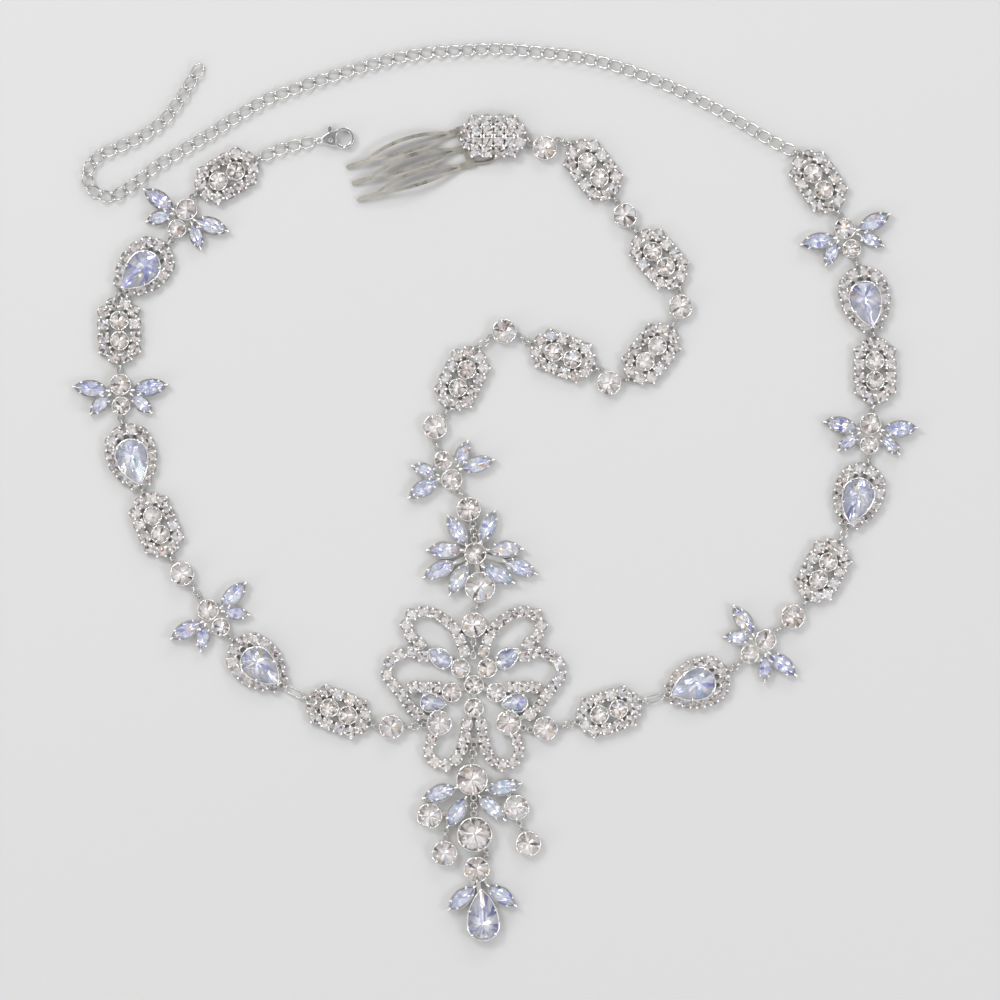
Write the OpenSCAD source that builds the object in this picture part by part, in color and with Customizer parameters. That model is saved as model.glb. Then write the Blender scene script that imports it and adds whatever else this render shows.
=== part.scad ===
// Hair chain: a butterfly centrepiece with a pendant, two side strands, a middle strand that ends in a comb,
// a lobster clasp and an extension chain, laid flat with the back on Z = 0.

/* [Cup chain] */
// Outside diameter of one small cup
small_cup_d = 3.8; // [3.6:0.1:4.6]
// Height of one small cup
small_cup_h = 2; // [1.6:0.1:2.6]
// Diameter of the stone that a small cup holds
small_stone_d = 3; // [2.4:0.1:3.2]
// Spacing of the small cups along a row
small_pitch = 3.8; // [3.7:0.05:4.2]
// Width of the straps that join cups and settings
strap_w = 1.4; // [0.9:0.1:2]
// Thickness of the straps and backing plates
strap_t = 0.8; // [0.5:0.1:1.2]
// Height of the underside of the straps above the back
strap_z = 0.2; // [0:0.1:0.6]

/* [Settings] */
// Thickness of the rim round a stone
rim_w = 0.3; // [0.2:0.05:0.5]
// Clearance between a stone and its setting
seat_gap = 0.12; // [0.1:0.01:0.2]
// Thickness of the floor of a setting
floor_t = 0.4; // [0.3:0.05:0.8]
// Height of a stone's girdle above the rim of its setting
girdle_lift = 0.2; // [0.1:0.05:0.4]
// Radius of a claw
claw_r = 0.36; // [0.25:0.01:0.5]
// Height of a claw's tip above the girdle
claw_rise = 0.45; // [0.2:0.05:0.8]
// Thickness of the wall of a pear basket
basket_wall = 0.4; // [0.3:0.05:0.6]

/* [Round stones] */
// Diameter of a stone that stands alone in a strand
single_d = 6.5; // [5.6:0.1:7.4]
// Diameter of the two stones in the middle of an oval piece
oval_stone_d = 4.9; // [4.2:0.1:5.2]
// Distance between the two stones in the middle of an oval piece
oval_stone_gap = 6; // [5.9:0.1:6.6]
// Diameter of the larger stone of a winged piece
wing_front_d = 5.6; // [5:0.1:6.2]
// Diameter of the smaller stone of a winged piece
wing_back_d = 4.8; // [4.2:0.1:5.4]
// Distance between the two round stones of a winged piece
wing_gap = 6.4; // [6.3:0.1:7.4]
// Gap between the two round settings of the flower
flower_stem = 2.2; // [2:0.1:3]
// Diameter of the stone in the middle of the flower
flower_d = 5.8; // [5:0.1:6.4]
// Diameter of the large stone below the flower
flower_drop_d = 8.3; // [7.4:0.1:8.8]
// Diameter of the stones in the body of the butterfly
body_d = 5.1; // [4.4:0.1:5.3]
// Diameter of the stone at the head of the butterfly
head_d = 6.7; // [6:0.1:7.2]
// Diameter of the two stones at the sides of the butterfly
flank_d = 6.7; // [6:0.1:7]
// Diameter of the large stone at the top of the pendant
pendant_d = 8.6; // [7.8:0.1:9.2]
// Diameter of the four round stones at the sides of the pendant
pendant_side_d = 6.8; // [6:0.1:7.4]
// Diameter of the large stone that hangs in the middle of the pendant
pendant_mid_d = 9.7; // [8.8:0.1:10.4]
// Diameter of the round stone above the pear drop
drop_round_d = 7; // [6.2:0.1:7.6]

/* [Pointed stones] */
// Length of a large marquise
marquise_l = 9.8; // [9:0.1:10.4]
// Width of a large marquise
marquise_w = 4.4; // [3.6:0.1:4.8]
// Length of a small marquise
petal_l = 7.4; // [6.6:0.1:8]
// Width of a small marquise
petal_w = 3.6; // [3:0.1:4]
// Length of the stone of a pear piece
pear_l = 13.2; // [12.8:0.1:13.6]
// Width of the stone of a pear piece
pear_w = 9; // [8.4:0.1:9.6]
// Length of a pear stone in the butterfly
mini_pear_l = 7.2; // [6.6:0.1:7.6]
// Width of a pear stone in the butterfly
mini_pear_w = 5; // [4.6:0.1:5.3]
// Length of the pear drop at the bottom
drop_l = 14.8; // [13.6:0.1:16]
// Width of the pear drop at the bottom
drop_w = 9; // [8:0.1:9.8]

/* [Links] */
// Radius of the wire of a joining ring
ring_wire_r = 0.22; // [0.18:0.01:0.24]
// Radius of a joining ring, to the middle of its wire
ring_r = 0.9; // [0.86:0.01:0.96]
// Radius of the hole of an eye
eye_r = 0.65; // [0.6:0.01:0.7]
// Width of the metal round the hole of an eye
eye_w = 0.4; // [0.3:0.02:0.44]
// Thickness of an eye
eye_t = 0.4; // [0.3:0.02:0.44]
// Gap between the two eyes or links that a ring joins
eye_gap = 0.12; // [0.1:0.01:0.16]
// Radius of the hole of a loose loop in a long joint
loop_r = 0.8; // [0.78:0.01:0.86]

/* [Chain] */
// Outside length of a curb link
curb_l = 5.4; // [5:0.05:6]
// Outside width of a curb link
curb_w = 3.7; // [3.4:0.05:4.4]
// Radius of the wire of a curb link
curb_wire_r = 0.27; // [0.22:0.01:0.28]
// Height that the twist lifts the wire of a curb link
curb_twist = 0.6; // [0.58:0.01:0.7]
// The same height for the links of the sharp turn
turn_twist = 0.85; // [0.8:0.01:0.9]
// Play between two curb links
curb_play = 0.22; // [0.2:0.01:0.3]
// Number of links in the extension chain
extension_links = 69; // [20:1:69]
// Number of links between the left strand and the clasp
clasp_links = 4; // [2:1:5]

/* [Comb] */
// Length of a tooth
tooth_l = 36; // [32:0.5:38]
// Spacing of the teeth
tooth_pitch = 5.2; // [5.2:0.1:6]
// Outside width of the eye in a tooth
tooth_w = 4.9; // [4.4:0.1:4.9]
// Width of the metal beside the eye in a tooth
tooth_bar = 1.1; // [0.9:0.05:1.3]
// Width of the tip of a tooth
tooth_tip_w = 1.3; // [1:0.1:1.6]
// Thickness of the comb
comb_t = 0.8; // [0.6:0.1:1]
// Width of the spine
spine_w = 2.4; // [2:0.1:3]
// Height of the arch of the teeth
comb_rise = 2.2; // [1:0.1:4]
// Height of the underside of the comb above the surface
comb_z = 0.05; // [0:0.05:0.1]

/* [Clasp] */
// Radius of the ring of the clasp, to its outside
clasp_ring_r = 3.2; // [2.9:0.1:3.6]
// Width of the metal of the ring
clasp_wire = 0.9; // [0.7:0.05:1]
// Thickness of the clasp
clasp_t = 2.2; // [2:0.1:2.6]
// Length from the middle of the ring to the end of the tail
clasp_tail = 7.4; // [7:0.1:8.2]
// Distance from the middle of the ring to the pivot of the lever
pivot_x = 4; // [3.8:0.1:4.3]
// Radius of the pivot pin
pin_r = 0.4; // [0.35:0.01:0.45]
// Clearance of the pin in the lever
pin_play = 0.05; // [0.03:0.01:0.08]
// Clearance of the pin in the body
pin_seat = 0.02; // [0.01:0.01:0.03]
// Thickness of the lever
lever_t = 0.8; // [0.7:0.05:0.9]
// Clearance above, below and in front of the lever
lever_gap = 0.12; // [0.1:0.01:0.15]
// Length of the lever's thumb piece from the pivot
thumb_l = 4.4; // [4:0.1:4.8]
// Width of the thumb piece
thumb_w = 1.3; // [1:0.1:1.5]

/* [Hidden] */
$fn = 48;

// Columns of a stone: its shape, its place, the direction of its point, its length and its width
function shape_of(s) = s[0];
function place_of(s) = s[1];
function turn_of(s) = s[2];
function length_of(s) = s[3];
function width_of(s) = s[4];
// Columns of a strand's table: the kind of a piece, the loop before it and its bend
function kind_of(row) = row[0];
function loop_of(row) = row[1];
function bend_of(row) = row[2];

// Depth below the girdle and height above it, as shares of the width
DEPTH_SHARE = [["round", 0.3], ["marquise", 0.42], ["pear", 0.31]];
CROWN_SHARE = [["round", 0.2], ["marquise", 0.24], ["pear", 0.17]];
TABLE_SHARE = 0.58;
// How full the pointed half of a pear is: less is fuller
PEAR_FULLNESS = 0.7;
// Corners of a stone, corners of a pear basket, and steps in which a claw's bearing is set
STONE_SIDES = 12;
FINE_SIDES = 24;
CLAW_STEPS = 72;
// Sides of the large arcs
LENS_FN = 144;
ARCH_FN = 360;

// Small cups of one quarter of an oval piece, as shares of the small pitch: along, across
OVAL_CUPS = [[2.1, 0.48], [1.5, 1.18], [0.52, 1.24]];
// Small cups of one half of a pear piece, as shares of the stone's length and width from its round middle
PEAR_CUPS = [[0.64, 0.22], [0.41, 0.47], [0.14, 0.63], [-0.15, 0.65], [-0.41, 0.53], [-0.56, 0.21]];
// Claws of a pear stone: bearing from its round middle
PEAR_CLAWS = [65, 130, 230, 295];
// Marquises of one half of a winged piece: share of the gap along, share of the setting's radius across,
// heading, size
WINGS = [["large", 0.27, 1.21, 98], ["small", 0.5, 1.24, 46]];
// Marquises of the flower: bearing of the base, its distance as a share of the middle setting's radius, heading
FLOWER = [
    [41, 1.17, 27], [-32, 1.17, -29], [72, 1.3, 85], [-79, 1.27, -94],
    [110, 2.08, 110], [137, 1.3, 146], [-153, 1.48, -122], [-110, 2.8, -117]
];
// Marquises of the pendant: bearing of the base, its distance as a share of the large setting's radius, heading
PENDANT = [[207, 1.17, 198], [251, 1.25, 238], [-34, 1.2, 11], [-65, 1.21, -43]];
// Round stones fixed at the sides of the pendant, as shares of a marquise's length
PENDANT_SIDES = [[-1.3, -1.12], [1.36, -0.86]];
// Marquises beside the pear drop: bearing of the base, its distance as a share of the round setting's radius,
// heading
DROP_LEAVES = [[262, 1.37, 221], [-54, 1.55, -36]];
// Point of the pear drop, as shares of the round setting's radius, and its heading
DROP_POINT = [0.38, -1.58];
DROP_TURN = 93;

// Stones in the body of the butterfly
BODY = [[0, 1.6], [4, 6.6], [-4, 6.6], [6.7, -0.7], [-6.7, -0.7], [0, -5.2]];
HEAD = [0, 19.5];
FLANK = [10.4, -9.8];
// Pear stones of the right half of the butterfly: place of the round middle, heading of the point
MINI_PEARS = [[[9.4, 9.2], 36], [[13.3, -3.7], 186]];
// Rows of small cups of the right half of the butterfly, as a few points of their curves
UPPER_ROW = [[3, 11.7], [5.9, 18.4], [12.4, 23.1], [18.6, 22.7], [20.2, 18], [16.2, 13.9]];
MIDDLE_ROW = [[15.2, 10.1], [19.4, 11.3], [24.6, 9.2], [26, 4.2], [22.4, -0.4], [19.8, -4.4], [16.8, -7.2]];
INNER_ROW = [[18.2, 0.9], [11.6, 0.9]];
LOWER_ROW = [[12.7, -14.8], [13.4, -19.2], [9.8, -22.7], [5, -20.3], [3, -15], [2.2, -10.3]];

// Routes of the strands: few chosen points, measured from the eye where each strand starts
LEFT_ROUTE = [
    [0, 0], [-4, -0.5], [-10, -1.5], [-16, 0.2], [-27, 5], [-41, 10.5], [-50.5, 20], [-60.5, 28], [-65.5, 35],
    [-71.5, 45], [-76, 50], [-79, 60], [-84, 69], [-88, 81], [-91, 93], [-92, 100], [-91, 108], [-91.5, 129],
    [-84, 138], [-76, 145], [-73.5, 152], [-69.5, 158], [-60.5, 164.5], [-51.5, 169], [-42, 173], [-33, 175]
];
RIGHT_ROUTE = [
    [0, 0], [6.5, -1.5], [12, 0.5], [26, 5], [38.5, 8.5], [54, 13], [63, 17.5], [67.5, 22.5], [73, 27.5],
    [77.5, 30], [82, 34], [85.5, 39], [90, 49], [96.5, 58.5], [102, 71.5], [103.5, 82], [104, 94], [105.5, 97],
    [105.5, 108], [105, 118], [101.5, 131], [100, 138.5], [97.5, 148], [95, 153.5], [89.5, 163], [84, 171],
    [76, 175], [65, 181.5], [53, 188], [41, 193.5], [29, 198], [17, 201], [5, 202.5], [-7, 203.5], [-19, 203],
    [-31, 202], [-43, 199.5], [-55, 196], [-67, 192], [-78.5, 187.5], [-95.5, 177], [-103, 172.5],
    [-110.5, 168], [-118, 162], [-124, 158.8], [-129.5, 161], [-131, 166.5], [-127.5, 171.5],
    [-120, 174.5], [-110, 180], [-104.5, 186], [-98.5, 195.5]
];
TOP_ROUTE = [
    [0, 0], [1.7, 1.4], [1.5, 10], [0, 21], [-0.3, 26], [-0.5, 30], [-3, 34.5], [-6, 36.5], [-11, 49],
    [-11.5, 55], [-8, 60], [0.5, 77.5], [4, 81], [10.5, 83], [19, 79], [37.5, 72], [44, 69], [49, 70.5], [60, 86],
    [61.5, 94], [60.5, 100.5], [47.5, 114.5], [43.5, 121], [40.5, 125.5], [29, 140.5], [24, 140],
    [18.5, 138.5], [14, 143], [4.5, 143], [-6, 141.5]
];

// Pieces of each strand, from the butterfly outwards: kind, straight length of the loose loop in the joint
// before it (NO_LOOP: a single ring), and how far the strand turns in the piece, to the left
NO_LOOP = -1;
LEFT = [
    ["round", 0.6, 0], ["oval", NO_LOOP, 0], ["pear", 4.2, 0], ["wings", NO_LOOP, 0], ["round", 0, 0],
    ["oval", NO_LOOP, 0], ["pear", NO_LOOP, 0], ["wings", NO_LOOP, 0], ["oval", NO_LOOP, 0],
    ["pear", NO_LOOP, 0], ["wings", NO_LOOP, 0], ["oval", NO_LOOP, 0]
];
RIGHT = [
    ["round", NO_LOOP, 0], ["oval", 0.6, 0], ["pear", 3.6, 0], ["wings", 0, 0], ["round", NO_LOOP, 0],
    ["oval", NO_LOOP, 0], ["pear", 0.6, 0], ["wings", NO_LOOP, 0], ["oval", NO_LOOP, 0],
    ["pear", NO_LOOP, 0], ["wings", NO_LOOP, 0], ["oval", NO_LOOP, 0]
];
TOP = [
    ["flower", NO_LOOP, 0], ["round", 0, 0], ["wings_back", NO_LOOP, 0], ["round", NO_LOOP, -40],
    ["oval", NO_LOOP, 0], ["round", 0.6, -44], ["oval", 0, 0], ["round", NO_LOOP, 70], ["oval", NO_LOOP, 0],
    ["round", NO_LOOP, 24], ["oval", NO_LOOP, 0], ["round", NO_LOOP, 0], ["oval", NO_LOOP, 0],
    ["round", 0, -50], ["comb_oval", NO_LOOP, 0]
];

// Height of a joining ring above the surface
RING_LIFT = 0.08;
// Play of the ring that holds a chain: more radius, more height, and its shift from the eye
COUPLER_PLAY = 0.1;
COUPLER_LIFT = 0.03;
COUPLER_SHIFT = 0.2;
// Metal between a setting and the hole of its eye
EYE_ROOT = 0.2;
// Metal between a small cup and the hole of the eye beside it
CUP_EYE_ROOT = 0.1;
// Gap between the comb and the oval piece that is wired on it
CLUSTER_GAP = 0.1;
// Width of the spokes under a pear stone, as a share of a strap's
SPOKE_SHARE = 0.7;
// Straight stretch added beyond the end of a route
ROUTE_SPARE = 60;
// Length that counts as nothing along a curve
RUN_SLACK = 0.001;
// How far a cut reaches beyond a rim, and beyond a whole piece
TINY = 0.05;
CUT_SPARE = 1;

// Sizes that follow from the ones above
mid_z = ring_wire_r + ring_r + RING_LIFT;
eye_out = eye_r + eye_w;
loop_out = loop_r + eye_w;
short_step = 2 * eye_out + eye_gap;
loop_step = eye_out + loop_out + eye_gap;
eye_reach = eye_r + EYE_ROOT;
wall = rim_w + seat_gap;
comb_top = comb_z + comb_t;
cluster_z = comb_top + CLUSTER_GAP;

function share(table, shape) = [for (row = table) if (row[0] == shape) row[1]][0];
function depth(s) = share(DEPTH_SHARE, shape_of(s)) * width_of(s);
function crown(s) = share(CROWN_SHARE, shape_of(s)) * width_of(s);
function girdle_z(s) = floor_t + seat_gap + depth(s);
function rim_z(s) = girdle_z(s) - girdle_lift;
function cup_r(d) = d / 2 + wall;
function polar(r, a) = r * [cos(a), sin(a)];
function heading(v) = atan2(v[1], v[0]);
function turned(p, a) = [p[0] * cos(a) - p[1] * sin(a), p[0] * sin(a) + p[1] * cos(a)];

// A smooth curve through a few points
function blend(a, b, c, d, t) =
    (2 * b + (c - a) * t + (2 * a - 5 * b + 4 * c - d) * t * t + (3 * b - a - 3 * c + d) * t * t * t) / 2;
function curve(points, steps = 8) = let (last = len(points) - 1) [
    for (i = [0:last - 1], k = [0:steps - 1])
        blend(points[max(i - 1, 0)], points[i], points[i + 1], points[min(i + 2, last)], k / steps),
    points[last]
];
// The same curve with a straight stretch beyond its end
function lengthened(path, more) = let (last = len(path) - 1, v = path[last] - path[last - 1])
    concat(path, [path[last] + v / norm(v) * more]);
// The first corner of a path that lies a given distance from a point, and the place on the path just there
function first_far(path, k, p, gap) =
    k >= len(path) - 1 || norm(path[k] - p) >= gap ? k : first_far(path, k + 1, p, gap);
function onward(path, at, gap) =
    let (
        p = at[1],
        k = first_far(path, at[0] + 1, p, gap),
        a = k - 1 == at[0] ? p : path[k - 1],
        d = path[k] - a,
        f = a - p,
        t = (-f * d + sqrt(max(0, (f * d) * (f * d) - (d * d) * (f * f - gap * gap)))) / (d * d)
    ) [k - 1, a + t * d];
// Places along a path, one after each straight step
function walk(path, steps) = [
    for (
        i = 0, at = [0, path[0]];
        i <= len(steps);
        at = i < len(steps) ? onward(path, at, steps[i]) : at, i = i + 1
    ) at[1]
];

// Length run along a path at each of its points, and the place at a given run
function curve_runs(path) = [
    for (
        i = 0, sum = 0;
        i < len(path);
        sum = sum + norm(path[min(i + 1, len(path) - 1)] - path[i]), i = i + 1
    ) sum
];
function along(path, runs, s) =
    let (i = max([for (k = [0:len(runs) - 2]) if (runs[k] <= s + RUN_SLACK) k]))
    path[i] + (path[i + 1] - path[i]) * (s - runs[i]) / (runs[i + 1] - runs[i]);
// Places of cups evenly along a curve, as near the small pitch as the curve allows
function row_of_cups(points) =
    let (
        path = curve(points),
        runs = curve_runs(path),
        whole = runs[len(runs) - 1],
        n = max(1, round(whole / small_pitch))
    ) [for (i = [0:n]) along(path, runs, whole * i / n)];

function round_stone(p, d) = ["round", p, 0, d, d];
function marquise(base, turn, l, w) = ["marquise", base + polar(l / 2, turn), turn, l, w];
function pear(p, turn, l, w) = ["pear", p, turn, l, w];
function moved(stones, p, a) = [
    for (s = stones) [shape_of(s), p + turned(place_of(s), a), turn_of(s) + a, length_of(s), width_of(s)]
];

// Outlines of the stones, with the point of a pear and the long axis of a marquise along X
function outline(shape, l, w, n) = [
    for (i = [0:n - 1]) let (a = 360 * i / n, c = cos(a), s = sin(a))
        shape == "round" ? [w / 2 * c, w / 2 * s]
        : shape == "marquise" ? [l / 2 * c, w / 2 * s * abs(s)]
        : c > 0 ? [(l - w / 2) * c, w / 2 * s * pow(abs(s), PEAR_FULLNESS)]
        : [w / 2 * c, w / 2 * s]
];

// How far beyond a pair of small cups the eye between them lies, each cup being a given way off the middle
function notch(off) = sqrt(pow(small_cup_d / 2 + eye_r + CUP_EYE_ROOT, 2) - pow(off, 2));

// Oval piece, about its middle
oval_end = OVAL_CUPS[0][0] * small_pitch;
oval_eye = oval_end + notch(OVAL_CUPS[0][1] * small_pitch);
function oval_cups() = [for (c = OVAL_CUPS, sx = [-1, 1], sy = [-1, 1]) [c[0] * sx, c[1] * sy] * small_pitch];
function oval_corner(i, x, y) = [OVAL_CUPS[i][0] * x, OVAL_CUPS[i][1] * y] * small_pitch;
function oval_stones() = [for (s = [-1, 1]) round_stone([s * oval_stone_gap / 2, 0], oval_stone_d)];

// Pear piece, about the round middle of its stone, with its point along -X, towards the butterfly
function pear_cups() = [for (c = PEAR_CUPS, sy = [-1, 1]) [-c[0] * pear_l, sy * c[1] * pear_w]];
function pear_stones() = [pear([0, 0], 180, pear_l, pear_w)];
function pear_eye(cup) = abs(cup[0]) * pear_l + notch(cup[1] * pear_w);
pear_near = pear_eye(PEAR_CUPS[0]);
pear_far = pear_eye(PEAR_CUPS[len(PEAR_CUPS) - 1]);

// Winged piece, with the smaller stone at the origin and the larger one along X
wing_near = cup_r(wing_back_d) + eye_reach;
wing_far = wing_gap + cup_r(wing_front_d) + eye_reach;
function wing_size(name) = name == "large" ? [marquise_l, marquise_w] : [petal_l, petal_w];
function wing_out(row) = row[2] * cup_r(row[0] == "large" ? wing_front_d : wing_back_d);
function wing_stones() = concat(
    [round_stone([0, 0], wing_back_d), round_stone([wing_gap, 0], wing_front_d)],
    [for (row = WINGS, s = [-1, 1]) let (size = wing_size(row[0]))
        marquise([wing_gap * (1 - row[1]), s * wing_out(row)], s * (180 - row[3]), size[0], size[1])]
);

// Marquises whose bases lie round a setting of a given radius
function leaves(rows, r) =
    [for (row = rows) marquise(polar(row[1] * r, row[0]), row[2], marquise_l, marquise_w)];
function base(s, more = 0) = place_of(s) - polar(length_of(s) / 2 - more, turn_of(s));

// Flower, with its middle at the origin and X outwards
FLOWER_SKEW = 0.1;
flower_drop = [-cup_r(flower_d) - cup_r(flower_drop_d) - flower_stem, -flower_d * FLOWER_SKEW];
flower_near = -flower_drop[0] + cup_r(flower_drop_d) + eye_reach;
flower_far = cup_r(flower_d) + eye_reach;
function flower_stones() = concat(
    [round_stone([0, 0], flower_d), round_stone(flower_drop, flower_drop_d)],
    leaves(FLOWER, cup_r(flower_d))
);

// How far the two eyes of a piece lie from its origin
single_reach = cup_r(single_d) + eye_reach;
function near_eye(kind) =
    kind == "round" ? single_reach
    : kind == "pear" ? pear_near
    : kind == "wings" ? wing_near
    : kind == "wings_back" ? wing_far - wing_gap
    : kind == "flower" ? flower_near
    : oval_eye;
function far_eye(kind) =
    kind == "round" ? single_reach
    : kind == "pear" ? pear_far
    : kind == "wings" ? wing_far
    : kind == "wings_back" ? wing_near + wing_gap
    : kind == "flower" ? flower_far
    : oval_eye;
function stones_of(kind) =
    kind == "round" ? [round_stone([0, 0], single_d)]
    : kind == "pear" ? pear_stones()
    : kind == "wings" ? wing_stones()
    : kind == "wings_back" ? moved(wing_stones(), [wing_gap, 0], 180)
    : kind == "flower" ? flower_stones()
    : [];

// Butterfly
function mirrored(p, s) = [p[0] * s, p[1]];
function butterfly_rows() = [UPPER_ROW, MIDDLE_ROW, INNER_ROW, LOWER_ROW];
function butterfly_stones() = concat(
    [for (p = BODY) round_stone(p, body_d)],
    [round_stone(HEAD, head_d)],
    [for (s = [-1, 1]) round_stone(mirrored(FLANK, s), flank_d)],
    [for (row = MINI_PEARS, s = [-1, 1])
        pear(mirrored(row[0], s), s > 0 ? row[1] : 180 - row[1], mini_pear_l, mini_pear_w)]
);
// Bearing of the eye at each flank, right and left, and the place of the eye at the foot
FLANK_TURNS = [-18, -8];
foot_eye = [0, -16.4];
head_eye = HEAD + [0, cup_r(head_d) + eye_reach];
function flank_eye(s) = mirrored(FLANK + polar(cup_r(flank_d) + eye_reach, FLANK_TURNS[s > 0 ? 0 : 1]), s);

// Steps, eyes and headings of a strand
function joint_step(loop) = loop < 0 ? short_step : 2 * loop_step + loop;
function piece_step(row) = (near_eye(kind_of(row)) + far_eye(kind_of(row))) * cos(bend_of(row) / 2);
function strand_steps(strand) = [for (row = strand) each [joint_step(loop_of(row)), piece_step(row)]];
function strand_path(start, route) = lengthened(curve([for (p = route) start + p]), ROUTE_SPARE);
function strand_eyes(start, route, strand) = walk(strand_path(start, route), strand_steps(strand));
left_eyes = strand_eyes(flank_eye(-1), LEFT_ROUTE, LEFT);
right_eyes = strand_eyes(flank_eye(1), RIGHT_ROUTE, RIGHT);
top_eyes = strand_eyes(head_eye, TOP_ROUTE, TOP);
function piece_turn(eyes, strand, i) = heading(eyes[2 * i + 2] - eyes[2 * i + 1]) - bend_of(strand[i]) / 2;
function piece_place(eyes, strand, i) =
    eyes[2 * i + 1] + polar(near_eye(kind_of(strand[i])), piece_turn(eyes, strand, i));
function strand_stones(eyes, strand) =
    [for (i = [0:len(strand) - 1])
        each moved(stones_of(kind_of(strand[i])), piece_place(eyes, strand, i), piece_turn(eyes, strand, i))];

// Curb chain
curb_a = curb_l / 2 - curb_wire_r;
curb_b = curb_w / 2 - curb_wire_r;
curb_step = 2 * curb_a - 2 * curb_wire_r - curb_play;
curb_z = turn_twist + curb_wire_r;
coupler_r = ring_r + COUPLER_PLAY;
coupler_z = coupler_r + ring_wire_r + COUPLER_LIFT;
coupler_shift = eye_out + COUPLER_SHIFT;
coupler_step = eye_out + curb_wire_r + eye_gap;
// Places of the wire's corners round a link, and the sides of the wire
CURB_ANGLES = [0, 22, 45, 90, 135, 158, 180, 202, 225, 270, 315, 338];
CURB_SIDES = 5;
// Links of the extension chain that lie in its sharp turn
TURN_LINKS = [51, 58];
chain_start = coupler_step + curb_a - curb_step / 2;
function first_wire(places) = places[0] + unit(places[1] - places[0]) * (curb_step / 2 - curb_a);
function last_wire(places, n) = places[n] + unit(places[n] - places[n - 1]) * (curb_a - curb_step / 2);
function unit(v) = v / norm(v);
function chain_steps(count) = concat([chain_start], [for (i = [1:count]) curb_step]);
function chain_places(start, route, strand, count) =
    let (
        steps = strand_steps(strand),
        first = len(steps) + 1,
        all = walk(strand_path(start, route), concat(steps, chain_steps(count)))
    ) [for (i = [0:count]) all[first + i]];
left_chain = chain_places(flank_eye(-1), LEFT_ROUTE, LEFT, clasp_links + 1);
right_chain = chain_places(flank_eye(1), RIGHT_ROUTE, RIGHT, extension_links);

// Pendant, with how far it, its lower eye and the middle drop lie beside the piece above
PENDANT_SHIFT = -0.6;
FOOT_SHIFT = 0.5;
MID_SHIFT = 0.3;
pendant_place = foot_eye + [PENDANT_SHIFT, -2 * loop_step - eye_reach - cup_r(pendant_d)];
pendant_eye = [0, cup_r(pendant_d) + eye_reach];
pendant_foot = [FOOT_SHIFT, -cup_r(pendant_d) - eye_reach];
pendant_sides = PENDANT_SIDES * marquise_l;
pendant_leaves = leaves(PENDANT, cup_r(pendant_d));
function pendant_stones() = concat(
    [round_stone([0, 0], pendant_d)],
    [for (p = pendant_sides) round_stone(p, pendant_side_d)],
    pendant_leaves
);
left_tip = base(pendant_leaves[1], marquise_l + 2 * claw_r + eye_reach + seat_gap);
// Bearings of the eye at the right side and of the two drops below their eyes
RIGHT_TIP_TURN = -80;
LEFT_HANG_TURN = -92;
RIGHT_HANG_TURN = -66;
right_tip = pendant_sides[1] + polar(cup_r(pendant_side_d) + eye_reach, RIGHT_TIP_TURN);
hang = short_step + eye_reach + cup_r(pendant_side_d);
left_hang = left_tip + polar(hang, LEFT_HANG_TURN);
right_hang = right_tip + polar(hang, RIGHT_HANG_TURN);
mid_place = pendant_foot + [MID_SHIFT, -2 * loop_step - eye_reach - cup_r(pendant_mid_d)];
// Bearings of the middle drop's lower eye and of the pear drop's eye
MID_EYE_TURN = -52;
DROP_EYE_TURN = 48;
mid_eye = mid_place + polar(cup_r(pendant_mid_d) + eye_reach, MID_EYE_TURN);
drop_eye = mid_eye + [0, -short_step];
drop_place = drop_eye - polar(cup_r(drop_round_d) + eye_reach, DROP_EYE_TURN);
drop_leaves = leaves(DROP_LEAVES, cup_r(drop_round_d));
drop_pear = DROP_POINT * cup_r(drop_round_d) - polar(drop_l - drop_w / 2, DROP_TURN);
function drop_stones() = concat(
    [round_stone([0, 0], drop_round_d), pear(drop_pear, DROP_TURN, drop_l, drop_w)],
    drop_leaves
);
function centre_stones() = concat(
    butterfly_stones(),
    moved(pendant_stones(), pendant_place, 0),
    moved([for (p = [left_hang, right_hang]) round_stone(p, pendant_side_d)], pendant_place, 0),
    moved([round_stone(mid_place, pendant_mid_d)], pendant_place, 0),
    moved(drop_stones(), pendant_place + drop_place, 0)
);

// Comb, about the middle of its spine, with the teeth along X
comb_place = [8.2, 3.1];
comb_turn = 18;
// Share of a tooth's width that lies on its bowed side; the other side is nearly straight
BOW_SHARE = 0.65;
// Lengths of a tooth's neck and tip beside its swelling, and how far the swelling's points reach into them
NECK_L = 4.6;
TIP_L = 8.2;
NECK_OVERLAP = 2.7;
TIP_OVERLAP = 3.3;
// How far the neck reaches into the swelling, and the neck's width as a share of the tip's
NECK_REACH = 2;
NECK_SHARE = 1.5;
// Metal between a point of the swelling and the point of the slit in it
SLIT_POINT = 2;
// Length of a tooth that lies flat beside the spine, before the arch starts
FLAT_L = 3.4;
// Length and width of the plate behind the spine, as shares of the spine's width
PLATE_SHARES = [3, 2];
swell_l = tooth_l - NECK_L - TIP_L + NECK_OVERLAP + TIP_OVERLAP;
slit_l = swell_l - 2 * SLIT_POINT;
slit_x = NECK_L - NECK_OVERLAP + swell_l / 2;
neck_w = tooth_tip_w * NECK_SHARE;
spine_l = 2 * (tooth_pitch + tooth_tip_w);
arch_r = (pow((tooth_l - FLAT_L) / 2, 2) + comb_rise * comb_rise) / (2 * comb_rise);

// Clasp, about the middle of its ring, with the tail along -X
ring_in = clasp_ring_r - clasp_wire;
ring_mid = clasp_ring_r - clasp_wire / 2;
// How far the pivot lies below the clasp's middle line, and the bearing of the lever's end
PIVOT_DROP = 0.3;
GATE_TURN = -96;
pivot = [-pivot_x, -PIVOT_DROP];
gate_reach = norm(polar(ring_mid, GATE_TURN) - pivot);
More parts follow.
